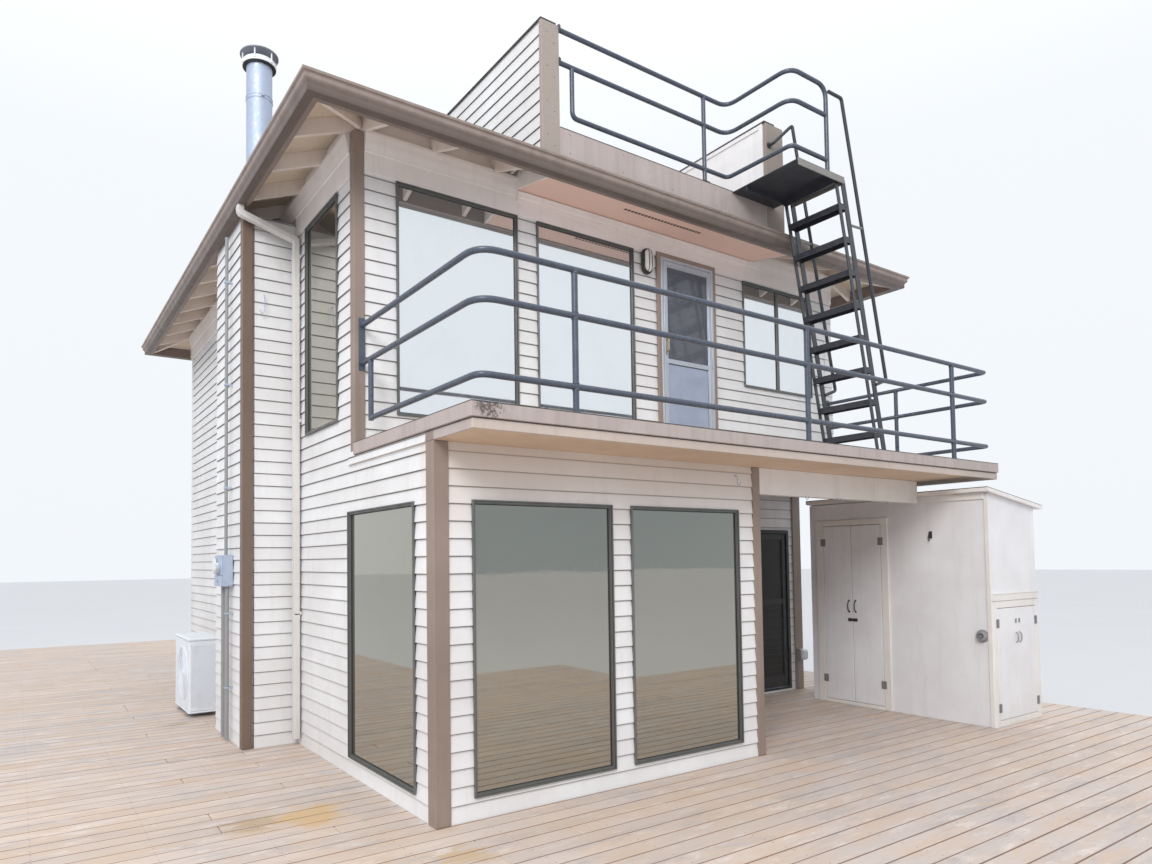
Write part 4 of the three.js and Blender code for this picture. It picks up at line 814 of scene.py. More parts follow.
def window(name, facing, at, opening, split):
    """A dark metal frame with an inner bead, a gasket and a sealed pane."""
    b = Build()
    a0, a1, z0, z1 = opening
    inward = -1 if facing[0] == "-" else 1
    a0, a1, z1 = a0 + WINDOW_GAP, a1 - WINDOW_GAP, z1 - WINDOW_GAP

    def bar(along, up, depth, slot, edge=0.0015):
        deep = sorted(at + inward * d for d in depth)
        b.box(*((along, deep) if facing[-1] == "y" else (deep, along)), up, slot, edge)

    for face, d0, d1, slot, inset, edge in WINDOW_RINGS:
        u0, u1, w0, w1 = a0 + inset, a1 - inset, z0 + inset, z1 - inset
        within = (u0 + face, u1 - face)
        for along, up in (((u0, u0 + face), (w0, w1)), ((u1 - face, u1), (w0, w1)),
                          (within, (w0, w0 + face)), (within, (w1 - face, w1))):
            bar(along, up, (d0, d1), slot, edge)
    lights = [(a0 + 0.025, a1 - 0.025)]
    if split:
        bar(about(split, 0.021), (z0 + 0.02, z1 - 0.02), (0, 0.064), 0)
        for side in (split - 0.026, split + 0.022):
            bar(span(side, 0.004), (z0 + 0.022, z1 - 0.022), (0.008, 0.056), 1, 0.001)
        lights = [(a0 + 0.025, split - 0.021), (split + 0.021, a1 - 0.025)]
    for u0, u1 in lights:
        bar((u0 - 0.004, u1 + 0.004), (z0 + 0.021, z1 - 0.021), (0.0145, 0.05), 2, 0.002)
    # Lower panes and the tall left one take the darker tint, a painted darker reflection.
    pane = LOWER_PANE_PAINTED_REFLECTION if z1 < c(20) or name == "window_left_tall" else PANE
    make("unit_" + name, b, [BRONZE, GASKET, pane], (name,))


for title, measures in WINDOWS.items():
    window(title, *measures)


# Pipe rails
RAIL_R = 0.021
RAIL_Y = c(-4.2)
RAIL_X = (c(0.5), c(53.5))
RAIL_Z = (c(24.45), c(28.5), c(31.15))
RAIL_POSTS = (c(6.85), c(27.8), c(47.7))
SIDE_END_Y, RIGHT_POST_Y = c(10.2), c(4.2)
CURB_TOP = c(22.93)
BALCONY_Z = 2.6
TERRACE_Y = 0.8
JOIN = 0.004
UP, DOWN, FORWARD, LEFTWARD = (0, 0, 1), (0, 0, -1), (0, -1, 0), (-1, 0, 0)


def foot(b, x, y, z, along="x"):
    """A small plate under a post, with two dome screws and the post's weld."""
    long, wide = (0.052, 0.026) if along == "x" else (0.026, 0.052)
    b.box(about(x, long), about(y, wide), span(z, 0.006), 0, 0.0015)
    for off in (-0.038, 0.038):
        dx, dy = (off, 0) if along == "x" else (0, off)
        b.screw((x + dx, y + dy, z + 0.006), UP, 0.006)
    profile = [(RAIL_R + 0.006, z + 0.005), (RAIL_R + 0.004, z + 0.01), (RAIL_R, z + 0.014)]
    b.turned(profile, (x, y, 0), sides=18)


def weld(b, x, y, z, way):
    """The bead where a post meets the pipe at height z, from below or from above."""
    at = (x, y, z - way[2] * (RAIL_R + JOIN))
    r = RAIL_R
    b.turned([(r, -0.004), (r + 0.0035, 0.001), (r + 0.0035, 0.004), (r, 0.009)], at, way, 0, 18)


def pipe(b, points, bend=0.0):
    b.tube(points, RAIL_R, sides=18, bend=bend)


def balcony_rail():
    b = Build()
    low, mid, top = RAIL_Z
    for z in RAIL_Z:
        start, bend = (SIDE_END_Y, 0.09) if z == low else (UPPER_Y - 0.014, 0.16)
        left = rounded([(RAIL_X[0], start, z), (RAIL_X[0], RAIL_Y, z), (RAIL_X[1] - 1.0, RAIL_Y, z)], bend)
        right = rounded([(RAIL_X[1] - 0.9, RAIL_Y, z), (RAIL_X[1], RAIL_Y, z), (RAIL_X[1], UPPER_Y, z)], 0.04)
        pipe(b, left + right)
        b.flange((RAIL_X[1], UPPER_Y - 0.0005, z), FORWARD, 0.045, 0.04, RAIL_R, 20)
    for x, y, z0 in [(x, RAIL_Y, CURB_TOP) for x in RAIL_POSTS] + [(RAIL_X[1], RIGHT_POST_Y, BALCONY_Z)]:
        pipe(b, [(x, y, z0 + 0.003), (x, y, top - JOIN)])
        foot(b, x, y, z0, along="x" if y == RAIL_Y else "y")
        for z in RAIL_Z:
            weld(b, x, y, z, UP)
            if z < top:
                weld(b, x, y, z, DOWN)
    pipe(b, [(RAIL_X[0], SIDE_END_Y, low - RAIL_R), (RAIL_X[0], SIDE_END_Y, mid - JOIN)])
    weld(b, RAIL_X[0], SIDE_END_Y, mid, UP)
    b.box((RAIL_X[0] - 0.03, RAIL_X[0] + 0.024), (UPPER_Y - 0.014, UPPER_Y - 0.0085),
          (mid - 0.06, top + 0.06), edge=0.001)
    for z in (mid - 0.04, mid + 0.12, top - 0.12, top + 0.04):
        b.screw((RAIL_X[0] - 0.003, UPPER_Y - 0.014, z), FORWARD, 0.005)
    make("pipe_rail", b, [RAIL], ("balcony_rail",), sharp=40)


ROOF_RAIL_Z = (c(54.9), c(52.35), c(48.45))
ROOF_RAIL_Y = c(0.55)
ROOF_RAIL_X = (c(12.75) + 0.188, c(15.7), c(30.1), c(33), c(33.2), c(37.9))
CURB_RAIL_Y = TERRACE_Y + 0.019
ROOF_CURB = c(47.3)
PLATFORM_Z = c(47.22)


def roof_rail():
    b = Build()
    start, low_x, post_x, bend_x, turn_x, end_x = ROOF_RAIL_X
    top, mid, low = ROOF_RAIL_Z

    def path(z):
        return [(start, CURB_RAIL_Y, z), (bend_x, CURB_RAIL_Y, z), (turn_x, ROOF_RAIL_Y, z),
                (end_x, ROOF_RAIL_Y, z)]

    pipe(b, path(top) + [(end_x, ROOF_RAIL_Y, PLATFORM_Z + 0.002)], 0.13)
    pipe(b, path(mid), 0.13)
    pipe(b, [(low_x, CURB_RAIL_Y, mid), (low_x, CURB_RAIL_Y, low)] + path(low)[1:], 0.06)
    pipe(b, [(post_x, CURB_RAIL_Y, ROOF_CURB + 0.003), (post_x, CURB_RAIL_Y, top - JOIN)])
    foot(b, post_x, CURB_RAIL_Y, ROOF_CURB)
    for z in ROOF_RAIL_Z:
        weld(b, post_x, CURB_RAIL_Y, z, UP)
    for z in (top, mid):
        b.flange((start, CURB_RAIL_Y, z), (1, 0, 0), 0.042, 0.036, RAIL_R, 20)
    make("roof_pipe_rail", b, [RAIL], ("roof_rail",), sharp=40)


# Platform and ship's ladder
LADDER_TOP_X = c(39.4)
LADDER_RUN = 0.2205
LADDER_Y = (0.04, 0.62)
BAR_T = 0.01
SIDE_BARS = ((-0.098, -0.053), (0.003, 0.072))
PLATFORM = (c(33.4), 4.53, c(0.16), TERRACE_Y)
TREADS = 8
TREAD_RISE = 0.316
HAND_R, BRACE_R = 0.017, 0.013


def ladder_x(z):
    return LADDER_TOP_X + (PLATFORM_Z - z) * LADDER_RUN


def hand_x(z):
    return 4.572 + (6.222 - z) * 0.2285


def ladder():
    b = Build()
    dark, bright = 0, 1
    x0, x1, y0, y1 = PLATFORM
    z = PLATFORM_Z
    b.box((x0, x1 - 0.06), (y0, y1), (z - 0.012, z), dark, 0.002)
    b.box((x1 - 0.07, x1), (y0, 0.63), (z - 0.0122, z - 0.0002), dark, 0.002)
    b.box((x0, x1), (y0 - 0.006, y0 + 0.004), (z - 0.062, z + 0.006), bright, 0.002)
    b.box((x1 - 0.006, x1 + 0.004), (y0, 0.63), (z - 0.062, z + 0.006), bright, 0.002)
    b.box((x0, x1 - 0.06), (0.62, 0.63), (z - 0.06, z - 0.003), dark, 0.002)
    b.box((4.385, 4.395), LADDER_Y, (z - 0.078, z - 0.003), dark, 0.002)
    b.box((4.385, 4.425), LADDER_Y, (z - 0.078, z - 0.072), dark, 0.002)
    for k in range(9):
        b.box(span(3.87 + k * 0.075, 0.003), (y0 + 0.01, y1 - 0.02), (z - 0.0005, z + 0.0022), dark, 0.001)
    low_x = ladder_x(BALCONY_Z)
    for y in LADDER_Y:
        for a, d in SIDE_BARS:
            bar = [(low_x + a, BALCONY_Z), (low_x + d, BALCONY_Z), (LADDER_TOP_X + d, z - 0.004),
                   (LADDER_TOP_X + a, z - 0.004)]
            b.prism("y", bar, y, y + BAR_T, dark)
        b.box((low_x - 0.12, low_x + 0.1), (y - 0.03, y + 0.04), (BALCONY_Z, BALCONY_Z + 0.006), dark, 0.0015)
    tread_y = (0.044, 0.626)
    for i in range(TREADS):
        top = c(45.1) - i * TREAD_RISE
        t0, t1 = ladder_x(top) - 0.066, ladder_x(top) + 0.05
        b.box((t0, t1), tread_y, (top - 0.006, top), dark, 0.0015)
        for x in (t0, t1 - 0.006):
            b.box((x, x + 0.006), tread_y, (top - 0.06, top - 0.001), dark, 0.0015)
        for k in range(11):
            b.box((t0 + 0.018, t1 - 0.018), span(0.075 + k * 0.052, 0.006), (top - 0.0005, top + 0.002), dark,
                  0.0008)
        cleat = ladder_x(top - 0.03)
        for y in LADDER_Y:
            b.box((cleat - 0.055, cleat + 0.006), (y + 0.001, y + 0.009), (top - 0.058, top - 0.004), dark,
                  0.001)
    front, back = [y + BAR_T / 2 for y in LADDER_Y]
    starts = {
        front: [(c(37.9) + RAIL_R + 0.0005, front, 6.222), (hand_x(6.222) - 0.01, front, 6.222)],
        back: [(c(38.6), TERRACE_Y, 6.055), (c(38.6), TERRACE_Y - 0.06, 6.055), (4.57, back, 6.235),
               (hand_x(5.926), back, 5.926)],
    }
    for y, reach in ((front, 4.965), (back, 5.01)):
        if y == back:
            b.flange(starts[y][0], FORWARD, 0.036, 0.03, HAND_R, 18, dark)
        path = starts[y] + [(hand_x(3.48), y, 3.48), (ladder_x(3.41) + 0.065, y, 3.41)]
        b.tube(path, HAND_R, dark, bend=0.03)
        b.tube([(ladder_x(reach) + 0.065, y, reach), (hand_x(reach), y, reach + 0.01)], BRACE_R, bright, 12)
    make("ships_ladder", b, [LADDER, LADDER_EDGE], ("ladder",), sharp=40)


balcony_rail()
roof_rail()
ladder()


# Roof edges
RAFTER_Z = 4.944
WALL_TOP = 5.15
SHEET_UNDER = 5.075
RAFTERS = 11
RAFTER_T = 0.038
RAFTER_PITCH = 0.61
FIRST_X, FIRST_Y = 0.061, 1.381
BLOCK_T = 0.035
CHASE_X = c(-4.36)
CHASE_Y = (c(24.8), c(34.67))
CHASE_TOP = 4.926
# Gutter sections as (outward, up): its outer face, lip and inner face, and the drip edge behind it
GUTTER_OUT = [(0, 0), (0.06, 0), (0.067, 0.003), (0.07, 0.01), (0.0705, 0.044), (0.074, 0.055),
              (0.081, 0.065), (0.09, 0.073), (0.0955, 0.082), (0.097, 0.11), (0.103, 0.116),
              (0.111, 0.119), (0.1125, 0.126)]
GUTTER_LIP = [(0.1125, 0.138), (0.107, 0.138), (0.106, 0.131)]
GUTTER_IN = [(0.093, 0.112), (0.0915, 0.088), (0.086, 0.079), (0.077, 0.071), (0.069, 0.06), (0.0665, 0.046),
             (0.066, 0.01), (0.06, 0.004), (0.004, 0.004), (0.004, 0.138), (0, 0.138)]
DRIP = [(0.005, 5.068), (0.0062, 5.068), (0.0062, 5.102), (-0.03, 5.1165), (-0.03, 5.115), (0.005, 5.101)]


def eave_ring(b, section, slot=0):
    """A section of (outward, up) points carried round the four eaves, mitred at the corners."""
    rings = [[(EAVE[ix] + (u if ix else -u), EAVE[iy] + (u if iy == 3 else -u), z) for u, z in section]
             for ix, iy in ((0, 2), (1, 2), (1, 3), (0, 3))]
    b.loft(rings, slot, loop=True)


def gutter():
    b = Build()
    eave_ring(b, [(u, EAVE_FOOT + z) for u, z in GUTTER_OUT + GUTTER_LIP + GUTTER_IN])
    eave_ring(b, DRIP, 1)
    up = span(EAVE_FOOT + 0.13, 0.003)

    def across(i):
        return (EAVE[i] + 0.003, EAVE[i] + 0.107) if i % 2 else (EAVE[i] - 0.107, EAVE[i] - 0.003)

    for k in range(9):
        for i in (2, 3):
            b.box(span(-0.2 + k * 0.83, 0.022), across(i), up, 1, 0.001)
        for i in (0, 1):
            b.box(across(i), span(1.1 + k * 0.86, 0.022), up, 1, 0.001)
    strap = [(EAVE[2] - u * 1.01 - 0.0006, EAVE_FOOT + z - 0.0006) for u, z in GUTTER_OUT]
    strap += [(EAVE[2] - 0.1, EAVE_FOOT + 0.12), (EAVE[2], EAVE_FOOT + 0.12)]
    for x in (2.35, 5.4):
        b.prism("x", strap, x, x + 0.045)
    make("eaves_gutter", b, [GUTTER, FLASHING], ("gutter",), sharp=28)


def flat_tube(b, y, points, half_x, half_y):
    """A rectangular pipe through (x, z) points at one y, with softened corners."""
    e = 0.006
    right, left = [(half_x - e, half_y), (half_x, half_y - e)], [(-half_x, half_y - e), (-half_x + e, half_y)]
    ring = [(-half_x + e, -half_y), (half_x - e, -half_y), (half_x, -half_y + e)] + right[::-1]
    ring += left[::-1] + [(-half_x, -half_y + e)]
    path = [Vector((x, y, z)) for x, z in points]
    rings = []
    for i, p in enumerate(path):
        before = (p - path[i - 1]).normalized() if i else (path[1] - p).normalized()
        after = (path[i + 1] - p).normalized() if i + 1 < len(path) else before
        along = (before + after).normalized()
        side = Vector((-along.z, 0, along.x)) / max(0.4, along.dot(before))
        rings.append([p + side * u + Vector((0, v, 0)) for u, v in ring])
    b.loft(rings)


def downspout():
    b = Build()
    y = CHASE_Y[0] - 0.09
    run = [(-0.55, 4.942), (-0.55, 4.89), (-0.538, 4.876), (-0.056, 4.736), (-0.042, 4.722), (-0.042, 0.062)]
    flat_tube(b, y, run, 0.028, 0.038)
    flat_tube(b, y, [(-0.55, 4.926), (-0.55, 4.902)], 0.031, 0.04)
    for z in (4.56, 3.0, 1.2):
        b.box((-0.0725, 0), about(y, 0.0395), span(z, 0.03), 0, 0.001)
        b.screw((-0.0725, y, z + 0.015), LEFTWARD, 0.005)
    for z in (4.5, 1.16):
        flat_tube(b, y, [(-0.042, z + 0.05), (-0.042, z)], 0.0295, 0.0395)
    make("rain_pipe", b, [SPOUT], ("downspout",))


FLUE_AT = (c(-1.85), c(29.7), 0)
FLUE_R = 0.128
PIPE_R, SEAM_R = FLUE_R - 0.002, FLUE_R + 0.003
FLUE_TOP = 6.755
FLUE_BAND = FLUE_TOP - 0.058
FLUE_SIDES = 40
# Turned parts of the flue: slot, height of its zero and (radius, up) pairs
FLUE_PARTS = (
    (0, CHASE_TOP, [(0, 0), (0.175, 0), (0.175, 0.004), (0.15, 0.012), (0.134, 0.03), (0.131, 0.06),
                    (FLUE_R - 0.003, 0.07)]),
    (0, 0, [(0, CHASE_TOP + 0.06), (PIPE_R, CHASE_TOP + 0.06), (PIPE_R, 6.34), (SEAM_R, 6.342),
            (SEAM_R, 6.349), (FLUE_R - 0.001, 6.352), (FLUE_R - 0.001, 6.372), (SEAM_R, 6.375),
            (SEAM_R, 6.382), (PIPE_R, 6.385), (PIPE_R, FLUE_BAND + 0.03), (0, FLUE_BAND + 0.03)]),
    (0, 0, [(0.12, 5.485), (0.165, 5.48), (0.167, 5.486), (0.131, 5.53), (0.127, 5.545)]),
    (1, FLUE_BAND, [(0, -0.004), (0.131, -0.004), (0.16, 0), (0.163, 0.003), (0.163, 0.008), (0, 0.01)]),
    (3, FLUE_BAND, [(0.15, 0.007), (0.1625, 0.0075), (0.1625, 0.056), (0.15, 0.0565)]),
    (2, FLUE_TOP, [(0, 0.06), (0.184, 0.06), (0.188, 0.064), (0.188, 0.071), (0.17, 0.078), (0.09, 0.104),
                   (0.02, 0.117), (0, 0.118)]),
)


def flue():
    b = Build()
    x, y, _ = FLUE_AT
    for i, (slot, zero, profile) in enumerate(FLUE_PARTS):
        if i == 3:
            b.box(about(x, 0.012), (y - 0.146, y - 0.124), (6.35, 6.374), 0)
        if i == 5:
            for k in range(6):
                a = math.pi * k / 3
                b.box(about(x + math.cos(a) * 0.165, 0.006), about(y + math.sin(a) * 0.165, 0.006),
                      (FLUE_BAND + 0.02, FLUE_TOP + 0.066), 3, 0.001)
        b.turned([(r, zero + up) for r, up in profile], FLUE_AT, slot=slot, sides=FLUE_SIDES)
    make("stove_flue", b, [ZINC, IRON, CAP_METAL, CAP_BAND], ("flue",), sharp=35)


# Frieze and crown under the eaves as (outward, courses up), in the open and in the closed part
OPEN_BAND = [(0.011, 43.6), (0.02, 43.62), (0.022, 43.95), (0.032, 44.08), (0.034, 44.4), (0.046, 44.72),
             (0.05, 44.8), (0.05, 45.05), (0, 45.05)]
CLOSED_BAND = [(0.011, 43.2), (0.02, 43.22), (0.022, 43.5), (0.032, 43.6), (0.036, 43.85), (0.044, 44.0),
               (0, 44.08)]


def eave_trim():
    """Frieze and crown on the walls, blocking between the rafters, cheeks and vent of the closed soffit."""
    b = Build()
    side_y = (UPPER_Y + 0.082, HOUSE_Y)
    for x0, x1, band in ((0.082, CLOSED[0], OPEN_BAND), (*CLOSED, CLOSED_BAND),
                         (CLOSED[1], HOUSE_X, OPEN_BAND)):
        b.prism("x", [(UPPER_Y - u, c(z)) for u, z in band], x0, x1)
    for x0, x1, z0 in ((0.082, c(28.5), 42.15), (c(28.5), c(36.15), 42.47), (c(36.15), HOUSE_X, 42.15)):
        b.box((x0, x1), (UPPER_Y - 0.011, UPPER_Y + 0.014), (c(z0), c(43.7)))
        b.box((x0, x1), (UPPER_Y - 0.003, UPPER_Y + 0.014), (c(43.65), c(45.05)), edge=0.001)
    for y in ((side_y[0], CHASE_Y[0]), (CHASE_Y[1], HOUSE_Y)):
        b.box((-0.011, 0.014), y, (c(41.98), c(43.7)))
    b.prism("y", [(-u, c(z)) for u, z in OPEN_BAND], *side_y)
    b.box((-0.003, 0.014), side_y, (c(43.65), c(45.05)), edge=0.001)
    for k in range(RAFTERS):
        low = FIRST_X + k * RAFTER_PITCH + RAFTER_T
        between = (low, min(low + RAFTER_PITCH - RAFTER_T, HOUSE_X))
        if low < HOUSE_X - 0.1 and not CLOSED[0] - 0.1 < low < CLOSED[1]:
            b.box(between, span(UPPER_Y, BLOCK_T), (WALL_TOP, 5.292), edge=0.001)
        b.box(between, (HOUSE_Y - BLOCK_T, HOUSE_Y), (WALL_TOP, 5.277), edge=0.001)
        low = FIRST_Y + k * RAFTER_PITCH + RAFTER_T
        if low < HOUSE_Y - 0.1:
            between = (low, min(low + RAFTER_PITCH - RAFTER_T, HOUSE_Y))
            for x in ((0, BLOCK_T), (HOUSE_X - BLOCK_T, HOUSE_X)):
                b.box(x, between, (WALL_TOP, 5.277), edge=0.001)
    front = EAVE[2] + 0.03
    cheek = [(front, RAFTER_Z + 0.004), (UPPER_Y, WALL_TOP - 0.1), (UPPER_Y, 5.29),
             (front, SHEET_UNDER + 0.008)]
    for x in CLOSED:
        b.prism("x", cheek, x - 0.012, x + 0.012)
    vent_y = c(8.45)
    under = RAFTER_Z + 0.007 + (vent_y - EAVE[2] - 0.036) * 0.1778
    b.box((c(22), c(30.9)), span(vent_y, 0.034), (under - 0.001, under + 0.004), 1, 0.0005)
    for k in range(24):
        b.box(span(c(22) + 0.012 + k * 0.0425, 0.03), (vent_y + 0.004, vent_y + 0.031),
              (under - 0.0025, under - 0.0005), 2, 0.0005)
    make("eave_trim", b, [FRIEZE, SOFFIT, IRON])


gutter()
downspout()
flue()
eave_trim()


# Posts, balcony edge and the trim on the walls
CHASE_POST_X = (CHASE_X - 0.008, CHASE_X + 0.083)
POSTS = {
    "front_corner_post": ((-0.008, 0.103), (-0.008, 0.103), (0, 2.457)),
    "porch_post": ((3.048, 3.14), (-0.006, 0.086), (0, 2.457)),
    "upper_corner_post": ((-0.008, 0.082), (UPPER_Y - 0.008, UPPER_Y + 0.082), (2.6, 5.146)),
    "chase_corner_post": (CHASE_POST_X, (CHASE_Y[0] - 0.008, CHASE_Y[0] + 0.083), (0, CHASE_TOP)),
}
PORCH_Y = c(16.6)
EDGE_FOOT = c(22.1)
EDGE_LOW = c(21.5)


def corner_posts():
    for node, (x, y, z) in POSTS.items():
        b = Build()
        b.box(x, y, z, edge=0.004)
        if node == "front_corner_post":
            b.box((x[0], 0.03), y, (z[1] + 0.0002, EDGE_FOOT - 0.007), edge=0.003)
        if node == "upper_corner_post":
            b.box((x[0], 0), y, (EDGE_FOOT, z[0] - 0.0002))
        # The chase corner post takes the trim colour darkened with painted shade.
        coat = CHASE_POST_SHADED if node == "chase_corner_post" else TRIM
        make("post_" + node, b, [coat], (node,))


def boards(b, start, end, length, y, z, slot=0):
    """Boards end to end along x with a hairline joint."""
    at = start
    while at < end - 0.01:
        to = end if end - at < length * 1.4 else at + length
        b.box((at, to - (0.0015 if to < end else 0)), y, z, slot, 0.003)
        at = to


def lap_face(b, x, out, y0, y1, z0, z1, slot):
    """Lap boards on one face of a wall; out is the way they look along x."""
    n = math.floor(z0 / COURSE)
    while n * COURSE < z1 - 0.01:
        low, high = max(n * COURSE, z0), min((n + 1) * COURSE + 0.012, z1)
        lap = [(x, low), (x + out * 0.014, low), (x + out * 0.002, high), (x, high)]
        b.prism("y", lap, y0, y1, slot, rng.random())
        n += 1


def balcony_edge():
    b = Build()
    ply, curb, coat, metal, fascia, siding = range(6)
    x1, y0, y1, wall = HOUSE_X, c(-4.45), UPPER_Y + 0.14, UPPER_Y - 0.008
    right = x1 + 0.017
    edge_z = (EDGE_LOW + 0.0005, EDGE_FOOT - 0.007)
    curb_z, cap_z = (EDGE_FOOT, CURB_TOP - 0.004), (CURB_TOP - 0.004, CURB_TOP)
    b.box((0, x1), (y0 + 0.02, y1), (2.472, 2.594), ply)
    for y in ((y0 + 0.02, 0.9), (0.9015, y1)):
        boards(b, 0, x1, 1.22, y, (2.4575, 2.472), ply)
    b.box((0.03, x1 - 0.03), (y0 + 0.03, wall), (2.594, 2.5998), coat)
    boards(b, -0.006, right, 4.27, (y0 - 0.001, y0 + 0.02), edge_z, fascia)
    b.box((-0.006, 0.015), (y0 + 0.0205, -0.009), edge_z, curb)
    lap_face(b, 0, -1, 0.104, UPPER_Y - 0.0085, EDGE_LOW + 0.001, EDGE_FOOT - 0.0072, siding)
    b.box((x1 - 0.004, right), (y0 + 0.0205, wall), edge_z, fascia)
    lap_face(b, 0, -1, UPPER_Y - 0.0075, y1, EDGE_LOW + 0.001, 2.598, siding)
    b.box((-0.002, x1 + 0.01), (y0 + 0.002, UPPER_Y - 0.01), (EDGE_FOOT - 0.007, EDGE_FOOT), metal, 0.0005)
    boards(b, -0.023, right, 4.88, (y0 - 0.017, y0 + 0.038), curb_z, curb)
    for x in ((-0.023, 0.038), (x1 - 0.038, right)):
        b.box(x, (y0 + 0.0385, wall), curb_z, curb, 0.003)
    b.box((-0.0235, x1 + 0.0172), (y0 - 0.0195, y0 + 0.036), cap_z, metal, 0.001)
    for x in ((-0.0235, 0.036), (x1 - 0.036, x1 + 0.0172)):
        b.box(x, (y0 + 0.036, wall), cap_z, metal, 0.001)
    make("balcony_deck", b, [PLY, CURB_PAINT, BALCONY_COAT, FLASHING, FASCIA_PAINT, SIDING],
         ("balcony_floor",))


def wall_trim():
    """Beam face and the brown corner at the porch's right end."""
    b = Build()
    boards(b, 3.141, c(49.3), 2.44, (0, 0.086), (c(19.5), 2.4565))
    make("beam_face", b, [FLAT_SIDING], ("porch_beam",))
    t = Build()
    t.box((c(53.2), HOUSE_X + 0.016), (PORCH_Y - 0.016, PORCH_Y + 0.004), (0, 2.457), edge=0.003)
    t.box((HOUSE_X - 0.004, HOUSE_X + 0.016), (PORCH_Y + 0.0045, PORCH_Y + 0.09), (0, 2.457), edge=0.003)
    make("porch_corner_trim", t, [TRIM])


corner_posts()
balcony_edge()
wall_trim()


# Roof deck: tray, curb, lap-sided left screen and panelled right screen
TERRACE_X = (c(12.75), c(40.6))
TERRACE_END = c(30)
SCREEN_TOP = c(55.2)
SCREEN_W = 0.14
RIGHT_SCREEN = c(38.15)
TERRACE_FOOT = 5.135
LAP_FOOT = 5.16
ROOF_FLAT = 5.376
FLAT_Y = 1.475


def roof_terrace():
    b = Build()
    siding, post, curb, metal, coat, panel, planks = range(7)
    x0, x1 = TERRACE_X
    front, behind = TERRACE_Y, TERRACE_Y + 0.038
    face, deep = (front, behind), (behind, TERRACE_END)
    left = x0 + 0.014
    floor_top = ROOF_FLAT + 0.012
    slope = [(front + 0.03, 5.12), (FLAT_Y, ROOF_FLAT), (FLAT_Y, floor_top), (front + 0.03, floor_top)]
    for a, a1 in ((left, left + SCREEN_W - 0.014), (RIGHT_SCREEN, RIGHT_SCREEN + SCREEN_W)):
        b.box((a, a1), deep, (ROOF_FLAT, SCREEN_TOP - 0.014), panel)
        b.prism("x", slope, a, a1, panel)
        b.box((a - 0.02, a + SCREEN_W + 0.006), (front, TERRACE_END), (SCREEN_TOP - 0.014, SCREEN_TOP), metal,
              0.003)
    for x, out in ((left, -1), (RIGHT_SCREEN + SCREEN_W, 1)):
        lap_face(b, x, out, front + 0.0385, TERRACE_END, LAP_FOOT, SCREEN_TOP - 0.014, siding)
    for inner in ((x0 + SCREEN_W, x0 + SCREEN_W + 0.012), (RIGHT_SCREEN - 0.012, RIGHT_SCREEN)):
        for k in range(4):
            b.box(inner, span(behind + k * 0.845, 0.045), (ROOF_FLAT, SCREEN_TOP - 0.06), panel)
        b.box(inner, deep, (SCREEN_TOP - 0.06, SCREEN_TOP - 0.015), panel)
    post_z, inside = (TERRACE_FOOT, SCREEN_TOP - 0.015), x0 + 0.1885
    b.box((x0, x0 + 0.188), face, post_z, post, 0.004, 0.2)
    b.box((RIGHT_SCREEN, x1), face, post_z, post, 0.004, 0.7)
    boards(b, inside, RIGHT_SCREEN - 0.0005, 3.05, face, (TERRACE_FOOT, ROOF_CURB - 0.004), curb)
    b.box((inside, RIGHT_SCREEN), (front - 0.003, front + 0.05), (ROOF_CURB - 0.004, ROOF_CURB), metal, 0.001)
    b.box((x0 + 0.01, x1 - 0.01), (front + 0.04, TERRACE_END), (ROOF_FLAT - 0.001, ROOF_FLAT + 0.018), coat)
    y = front + 0.06
    while y < TERRACE_END - 0.1:
        b.box((x0 + 0.16, RIGHT_SCREEN - 0.02), span(y, 0.135), (ROOF_FLAT + 0.018, ROOF_FLAT + 0.03), planks,
              0.004, rng.random())
        y += 0.142
    screws = [(x, z) for x in (1.75, 2.36, 2.97, 3.58) for z in (5.2, 5.36)]
    for z in (5.3, 5.6, 5.9, 6.2):
        screws += [(x0 + 0.06, z), (x0 + 0.13, z - 0.08)]
    for x, z in screws:
        b.screw((x, front, z), FORWARD, 0.0045, metal)
    make("roof_terrace", b, [SIDING, POST_WOOD, CURB_PAINT, FLASHING, BALCONY_COAT, SHED_PAINT, DECK],
         ("roof_deck",))


roof_terrace()


# Doors: (x from, x to, z from, z to) of their openings
STORM = (c(28.95), c(35.7), c(24.1), c(42.05))
STORM_MID = c(32.6)
STORM_HINGES = (c(26.5), c(33), c(39.8))
SLIDER = (4.18, 6.01, 0.025, c(17.7))
REAR = (c(10), c(18), 0.025, c(17.8))
REAR_HINGES = (c(3), c(9.5), c(16))
LEAF_GAP = 0.005
BARREL_HALF = 0.0147
BARREL_R = 0.006


def door_ring(b, x0, x1, z0, z1, y, face, slot=0, sill=None, edge=0.002):
    """Stiles and rails round an opening; face is their width."""
    b.box((x0, x0 + face), y, (z0, z1), slot, edge)
    b.box((x1 - face, x1), y, (z0, z1), slot, edge)
    b.box((x0 + face, x1 - face), y, (z1 - face, z1), slot, edge)
    b.box((x0 + face, x1 - face), y, (z0, z0 + (sill or face)), slot, edge)


def barrels(b, x, y, heights, leaf, slot):
    """Hinge barrels on a vertical axis: the middle one on the leaf, the outer two on the frame."""
    r = BARREL_R
    for z in heights:
        for lo, hi in [(-BARREL_HALF, BARREL_HALF)] if leaf else [(-0.045, -0.015), (0.015, 0.045)]:
            profile = [(r * 0.8, z + lo), (r, z + lo + 0.001), (r, z + hi - 0.001), (r * 0.8, z + hi)]
            b.turned(profile, (x, y, 0), slot=slot, sides=14)


def pull(b, x, y, out, z0, z1, rise, r, slot):
    """A bar handle that stands out from y between two heights."""
    b.tube([(x, y, z0), (x, out, z0 + rise), (x, out, z1 - rise), (x, y, z1)], r, slot, 12, 0.012)


